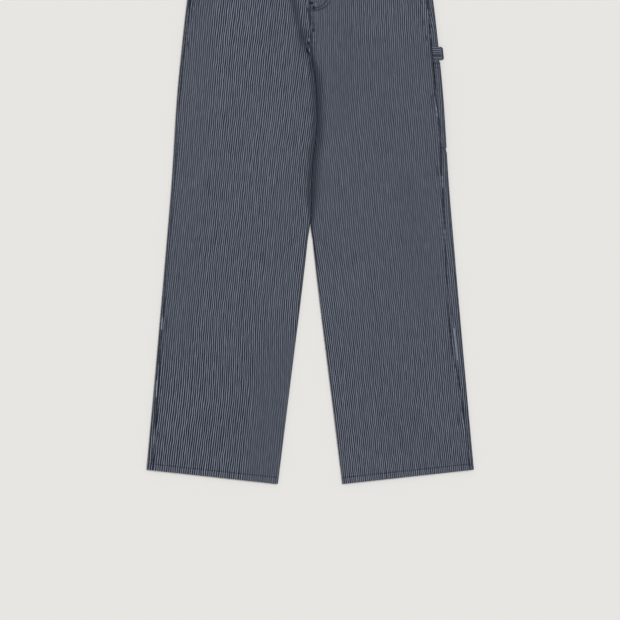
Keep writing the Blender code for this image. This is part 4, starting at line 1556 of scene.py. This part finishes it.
# %% Hems
def hem_row(side):
    """Along the hem's upper stitch line, from the side seam to the inner fold."""
    down = HEM_DOWN - HEM_DEPTH
    width = float(row_width(side, down))
    start = float(side_seam[side](down)) + 1.0
    return on_front(side, np.linspace(start, width - 4.0, 90), down, 0.2)


stitches_hems = sew("stitches_hems", [hem_row(side) for side, _ in SIDES])


# %% Waistband, tool pocket and loop
def band_row(side, down):
    """Along a front band, from its lapping end to the side seam."""
    width = float(row_width(side, down))
    start = float(side_seam[side](down)) + 2.0
    stop = width + (BAND_LAP - 2.0 if side == LEFT else -BAND_LAP - 2.0)
    from_fold = np.linspace(start, stop, 120)
    heights = BAND_STACK + band_relief(down, from_fold, 3.0 + side) + STITCH_LIFT
    heights = heights + band_lift(side, width - from_fold)
    return place(side, from_fold, np.full_like(from_fold, down), heights, FRONT_DIP)


def buttonhole_rows():
    """Stitches packed side by side round the slot."""
    at_x, at_y = hole_place()
    top = (BAND_STACK + BAND_WALL + LAYER_GAP + 0.2) * MM
    rows = []
    for out in np.arange(-BUTTONHOLE_HALF, BUTTONHOLE_LONG - BUTTONHOLE_HALF, 0.8):
        for edge in (-3.0, 3.0):
            rows += satin([np.array([at_x + out * MM, at_y + edge * MM, top])], (0, 1, 0))
    return rows


band_edges = (BAND_STITCH_IN, BAND_HEIGHT - BAND_STITCH_IN)
band_rows = [band_row(side, down) for side, _ in SIDES for down in band_edges]
stitches_band = sew("stitches_band", band_rows + buttonhole_rows())


def pocket_row(down):
    """Across the pocket's upper strip, and round the fold as far as it faces up."""
    high = float(fold_height[LEFT](down)) + POCKET_LIFT
    from_fold = np.linspace(float(side_seam[LEFT](down)) - 1.0, 1.2, 20)
    near_edge = np.maximum(0.0, high / 2 - from_fold)
    heights = high / 2 + np.sqrt(np.maximum(0.0, (high / 2) ** 2 - near_edge**2))
    return place(LEFT, from_fold, np.full(20, down), heights - 0.1, 0.0)


pocket_rows = [pocket_row(POCKET_TOP + n) for n in POCKET_ROWS] + [pocket_row(POCKET_BOTTOM - 2.5)]
stitches_pocket = sew("stitches_pocket", pocket_rows)


def loop_row(row_in):
    places, heights = loop_section()
    from_fold, height = places[0, :LOOP_TOP_POINTS], heights[0, :LOOP_TOP_POINTS]
    down = LOOP_TOP + row_in - LOOP_SLIPS_UP
    return place(LEFT, from_fold, np.full_like(from_fold, down), height, 0.0)


stitches_loop = sew("stitches_loop", [loop_row(row_in) for row_in in LOOP_STITCH_ROWS])

# %% [markdown]
# ## Shader maths as plain sums
# A node tree for a weave is mostly arithmetic. This small class wraps a socket, so that an expression
# such as `1 - stripe * 0.5` adds the Math nodes by itself. The number may come first in a sum or a
# difference. Every other node comes from one method, which sets the node's settings first and then its
# sockets.

# %% Sums in a node tree
class Value:
    """A number socket that can stand in a sum."""

    def __init__(self, look, socket):
        self.look, self.socket = look, socket

    def sum(self, operation, *values):
        return self.look.node("ShaderNodeMath", {"operation": operation}, dict(enumerate(values)))

    def __add__(self, other):
        return self.sum("ADD", self, other)

    def __radd__(self, other):
        return self.sum("ADD", other, self)

    def __sub__(self, other):
        return self.sum("SUBTRACT", self, other)

    def __rsub__(self, other):
        return self.sum("SUBTRACT", other, self)

    def __mul__(self, other):
        return self.sum("MULTIPLY", self, other)

    def __truediv__(self, other):
        return self.sum("DIVIDE", self, other)

    def part(self):
        """What is left over after the whole number."""
        return self.sum("FRACT", self)


print("operators that also take the number first:", sum(name.startswith("__r") for name in vars(Value)))


# %% A material and its nodes
class Look:
    """A material and its nodes."""

    def __init__(self, name):
        self.material = bpy.data.materials.new(name)
        self.material.use_nodes = True
        self.tree = self.material.node_tree
        self.shader = self.tree.nodes["Principled BSDF"]

    def node(self, kind, settings, sockets, output=0):
        """Adds a node. Its settings are set first, then its sockets get values or links."""
        made = self.tree.nodes.new(kind)
        for name, setting in settings.items():
            setattr(made, name, setting)
        for name, value in sockets.items():
            self.plug(made.inputs[name], value)
        return Value(self, made.outputs[output])

    def plug(self, socket, value):
        if isinstance(value, Value):
            self.tree.links.new(value.socket, socket)
        else:
            socket.default_value = value

    def between(self, low, high, value):
        """0 below low, 1 above high, and smooth between."""
        smooth, ends = {"interpolation_type": "SMOOTHSTEP"}, {"From Min": low, "From Max": high}
        return self.node("ShaderNodeMapRange", smooth, {"Value": value, **ends})

    def slope(self, value, low, high, at_low, at_high):
        """A straight line from at_low at low to at_high at high, and level beyond them."""
        ends = {"From Min": low, "From Max": high, "To Min": at_low, "To Max": at_high}
        return self.node("ShaderNodeMapRange", {}, {"Value": value, **ends})

    def speckle(self, x, y, layer, detail):
        """Soft noise on two coordinates. Another layer gives another pattern."""
        at = self.node("ShaderNodeCombineXYZ", {}, {0: x, 1: y, 2: layer})
        return self.node("ShaderNodeTexNoise", {}, {"Vector": at, "Scale": 1.0, "Detail": detail})

    def carried_value(self, name):
        """A number that lies on the sheet's points."""
        return self.node("ShaderNodeAttribute", {"attribute_name": name}, {}, 2)

    def mix(self, share, first, second):
        """A colour between two colours."""
        settings = {"data_type": "RGBA"}
        return self.node("ShaderNodeMix", settings, {0: share, 6: first, 7: second}, 2)

    def finish(self, **sockets):
        for name, value in sockets.items():
            self.plug(self.shader.inputs[name.replace("_", " ")], value)
        return self.material


print("materials so far:", len(bpy.data.materials))

# %% [markdown]
# ## The striped cloth
# Hickory stripe is a twill: bands of off-white and of navy warp threads in turn, four millimetres to
# the pair, crossed by a navy weft that shows as fine slanting flecks. Each warp thread varies a little
# along its length. The value for wear and painted shade makes the ridges pale, and darkens and tints
# the grooves, folds and edges as painted shade. "bold" sets the stripes' contrast. All of it is worked
# out from the map of the cut cloth, so the stripes follow each piece round its folds.

# %% Striped twill
OFF_WHITE = (0.2468, 0.267, 0.323, 1.0)
NAVY = (0.0177, 0.0220, 0.0378, 1.0)
# A blue tint for painted shade, strongest where the painted shade is darkest.
PAINTED_SHADE_TINT = (0.84, 0.92, 1.06, 1.0)
NO_TINT = (1.0, 1.0, 1.0, 1.0)
WHITE_SHARE = 0.34
MEAN_SHARE = 0.33
TWILL_STEP = 0.9


def striped_twill(name, contrast_low, contrast_high, light_low, light_high):
    look = Look(name)
    cut = look.node("ShaderNodeUVMap", {"uv_map": "grain"}, {})
    parts = look.node("ShaderNodeSeparateXYZ", {}, {0: cut}).socket.node.outputs
    u, v = Value(look, parts[0]) * 1000.0, Value(look, parts[1]) * 1000.0
    wear_and_shade, bold = look.carried_value("wear_and_shade"), look.carried_value("bold")

    # Bands of white and navy that wander a little, and the weft's slanting flecks
    drift = look.speckle(u * 0.0070, v * 0.0060, 0.0, 0.0)
    tremor = look.speckle(u * 0.060, v * 0.045, 0.0, 2.0)
    pull = look.speckle(u * 0.21, v * 0.030, 5.0, 1.0)
    u_here = u + (drift - 0.5) * 4.0 + (tremor - 0.5) * 2.4 + (pull - 0.5) * 2.0
    across = (u_here / STRIPE_PITCH).part()
    past_white = look.between(WHITE_SHARE, WHITE_SHARE + 0.10, across)
    white = look.between(0.04, 0.14, across) * (1.0 - past_white)
    fleck = look.between(0.55, 0.80, ((u + v) / TWILL_STEP).part())
    share = white * (1.0 - fleck * 0.30) + (1.0 - white) * fleck * 0.10

    # Contrast: less where the cloth is handled and under painted shade, and hardly any on bare ridges
    patch = look.speckle(u * 0.045, v * 0.024, 9.0, 1.0)
    out_of_painted_shade = look.between(-1.3, -0.2, wear_and_shade)
    contrast = look.slope(v, -420.0, -80.0, contrast_low, contrast_high)
    contrast = contrast * (0.55 + patch * 0.90) * (0.50 + out_of_painted_shade * 0.50) * bold
    share = MEAN_SHARE + (share - MEAN_SHARE) * contrast
    ridge = look.between(0.45, 1.0, wear_and_shade)
    bare = look.between(0.85, 1.35, wear_and_shade)
    share = share * (1.0 - ridge * 0.8) + ridge * (0.62 + bare * 0.5)

    # Colour, and painted shade: the dark end of the wear value darkens the cloth and tints it blue
    slub = look.speckle(u * 0.30, v * 0.050, 7.0, 1.0)
    thread = look.speckle(u * 1.3, v * 0.035, 0.0, 3.0)
    cloud = look.speckle(u * 0.010, v * 0.006, 3.0, 3.0)
    # Wear and painted shade turn into lightness: paler on washed ridges, darker where shade is painted.
    fade = look.slope(wear_and_shade, -2.0, 1.0, 0.09, 1.44)
    lower = look.slope(v, -450.0, 150.0, light_low, light_high)
    light = (0.82 + thread * 0.36) * (0.80 + slub * 0.40) * (0.94 + cloud * 0.12)
    light = light * fade * lower * (0.84 + bold * 0.16)
    painted_shade_tint = look.mix(look.between(-1.5, -0.6, wear_and_shade), PAINTED_SHADE_TINT, NO_TINT)
    dye = look.mix(share, NAVY, OFF_WHITE)
    dyed = look.node("ShaderNodeVectorMath", {"operation": "MULTIPLY"}, {0: dye, 1: painted_shade_tint})
    lit = look.node("ShaderNodeVectorMath", {"operation": "SCALE"}, {0: dyed, "Scale": light})

    height = fleck * 0.5 + white * 0.3 + thread * 0.4
    normal = look.node("ShaderNodeBump", {}, {"Strength": 0.35, "Distance": 0.0003, "Height": height})
    return look.finish(Base_Color=lit, Roughness=0.95, Normal=normal, Specular_IOR_Level=0.12)


STRIPE_CONTRAST = {RIGHT: (1.04, 0.92), LEFT: (0.92, 0.58)}
STRIPE_LIGHT = {RIGHT: (0.93, 1.015), LEFT: (0.935, 0.94)}
stripes = {
    side: striped_twill(f"striped_twill_{word}", *STRIPE_CONTRAST[side], *STRIPE_LIGHT[side])
    for side, word in SIDES
}
for side, _ in SIDES:
    for piece in (fronts[side], backs[side], facings[side], band_fronts[side]):
        piece.data.materials.append(stripes[side])
for piece in (pocket, loop, band_back):
    piece.data.materials.append(stripes[LEFT])
print("stripe pitch:", STRIPE_PITCH, "mm")

# %% [markdown]
# ## Thread, metal and floor
# The thread is a dark navy cotton with a slight shine. The button is worn metal, mottled darker and
# paler. The floor is a plain pale paper.

# %% Thread, button and floor
THREAD_NAVY = (0.010, 0.012, 0.022, 1.0)
THREAD_PALE = (0.030, 0.034, 0.052, 1.0)
METAL_DARK = (0.16, 0.15, 0.135, 1.0)
METAL_PALE = (0.42, 0.40, 0.37, 1.0)


def mottled(look, scale, detail):
    """Noise on Object coordinates."""
    place_in = look.node("ShaderNodeTexCoord", {}, {}, 3)
    return look.node("ShaderNodeTexNoise", {}, {"Vector": place_in, "Scale": scale, "Detail": detail})


def navy_thread():
    look = Look("navy_thread")
    mottle = mottled(look, 900.0, 2.0)
    colour = look.mix(mottle, THREAD_NAVY, THREAD_PALE)
    return look.finish(Base_Color=colour, Roughness=0.8, Specular_IOR_Level=0.2)


def worn_metal():
    look = Look("worn_metal")
    mottle = mottled(look, 420.0, 5.0)
    colour = look.mix(look.between(0.35, 0.65, mottle), METAL_DARK, METAL_PALE)
    normal = look.node("ShaderNodeBump", {}, {"Strength": 0.2, "Distance": 0.0001, "Height": mottle})
    return look.finish(Base_Color=colour, Metallic=1.0, Roughness=0.30 + mottle * 0.25, Normal=normal)


def pale_paper():
    look = Look("pale_paper")
    return look.finish(Base_Color=(*FLOOR_COLOUR, 1.0), Roughness=1.0, Specular_IOR_Level=0.0)


thread = navy_thread()
stitch_pieces = [stitches_fly, stitches_tacks, stitches_mouths, stitches_hems]
stitch_pieces += [stitches_band, stitches_pocket, stitches_loop]
for piece in stitch_pieces:
    piece.data.materials.append(thread)
button.data.materials.append(worn_metal())
floor.data.materials.append(pale_paper())
print("materials:", len(bpy.data.materials))

# %% [markdown]
# ## The sizes of the cuts
# A table gives the size that each sheet was cut to, what it rests on and the stitches sewn on it.
# Cloth hardly stretches. A loop works out each cut's area and keeps nothing of it.

# %% Cut sizes
Cut = namedtuple("Cut", "piece width length rests_on stitches")
FRONT_STITCHES = (stitches_fly, stitches_tacks, stitches_hems)
CUTS = (
    Cut(fronts[RIGHT], 0.29, 1.07, ["back_right", "facing_right"], ()),
    Cut(fronts[LEFT], 0.29, 1.07, ["back_left", "facing_left"], FRONT_STITCHES),
    Cut(backs[RIGHT], 0.30, 1.09, ["floor"], ()),
    Cut(backs[LEFT], 0.31, 1.09, ["floor", "pocket", "loop"], ()),
    Cut(facings[RIGHT], 0.075, 0.18, ["panel_back_right"], ()),
    Cut(facings[LEFT], 0.075, 0.16, ["panel_back_left"], ()),
    Cut(band_fronts[RIGHT], 0.045, 0.235, ["band_back"], ()),
    Cut(band_fronts[LEFT], 0.045, 0.215, ["band_front_right", "band_back"], (stitches_band,)),
    Cut(band_back, 0.045, 0.45, ["floor"], ()),
    Cut(pocket, 0.155, 0.166, ["floor", "panel_back_left"], (stitches_pocket,)),
    Cut(loop, 0.026, 0.165, ["floor", "panel_back_left"], (stitches_loop,)),
)
for cut in CUTS:
    box = cut.width * cut.length

# %% A loop over the pieces and stitches that does nothing
for piece in [cut.piece for cut in CUTS] + stitch_pieces:
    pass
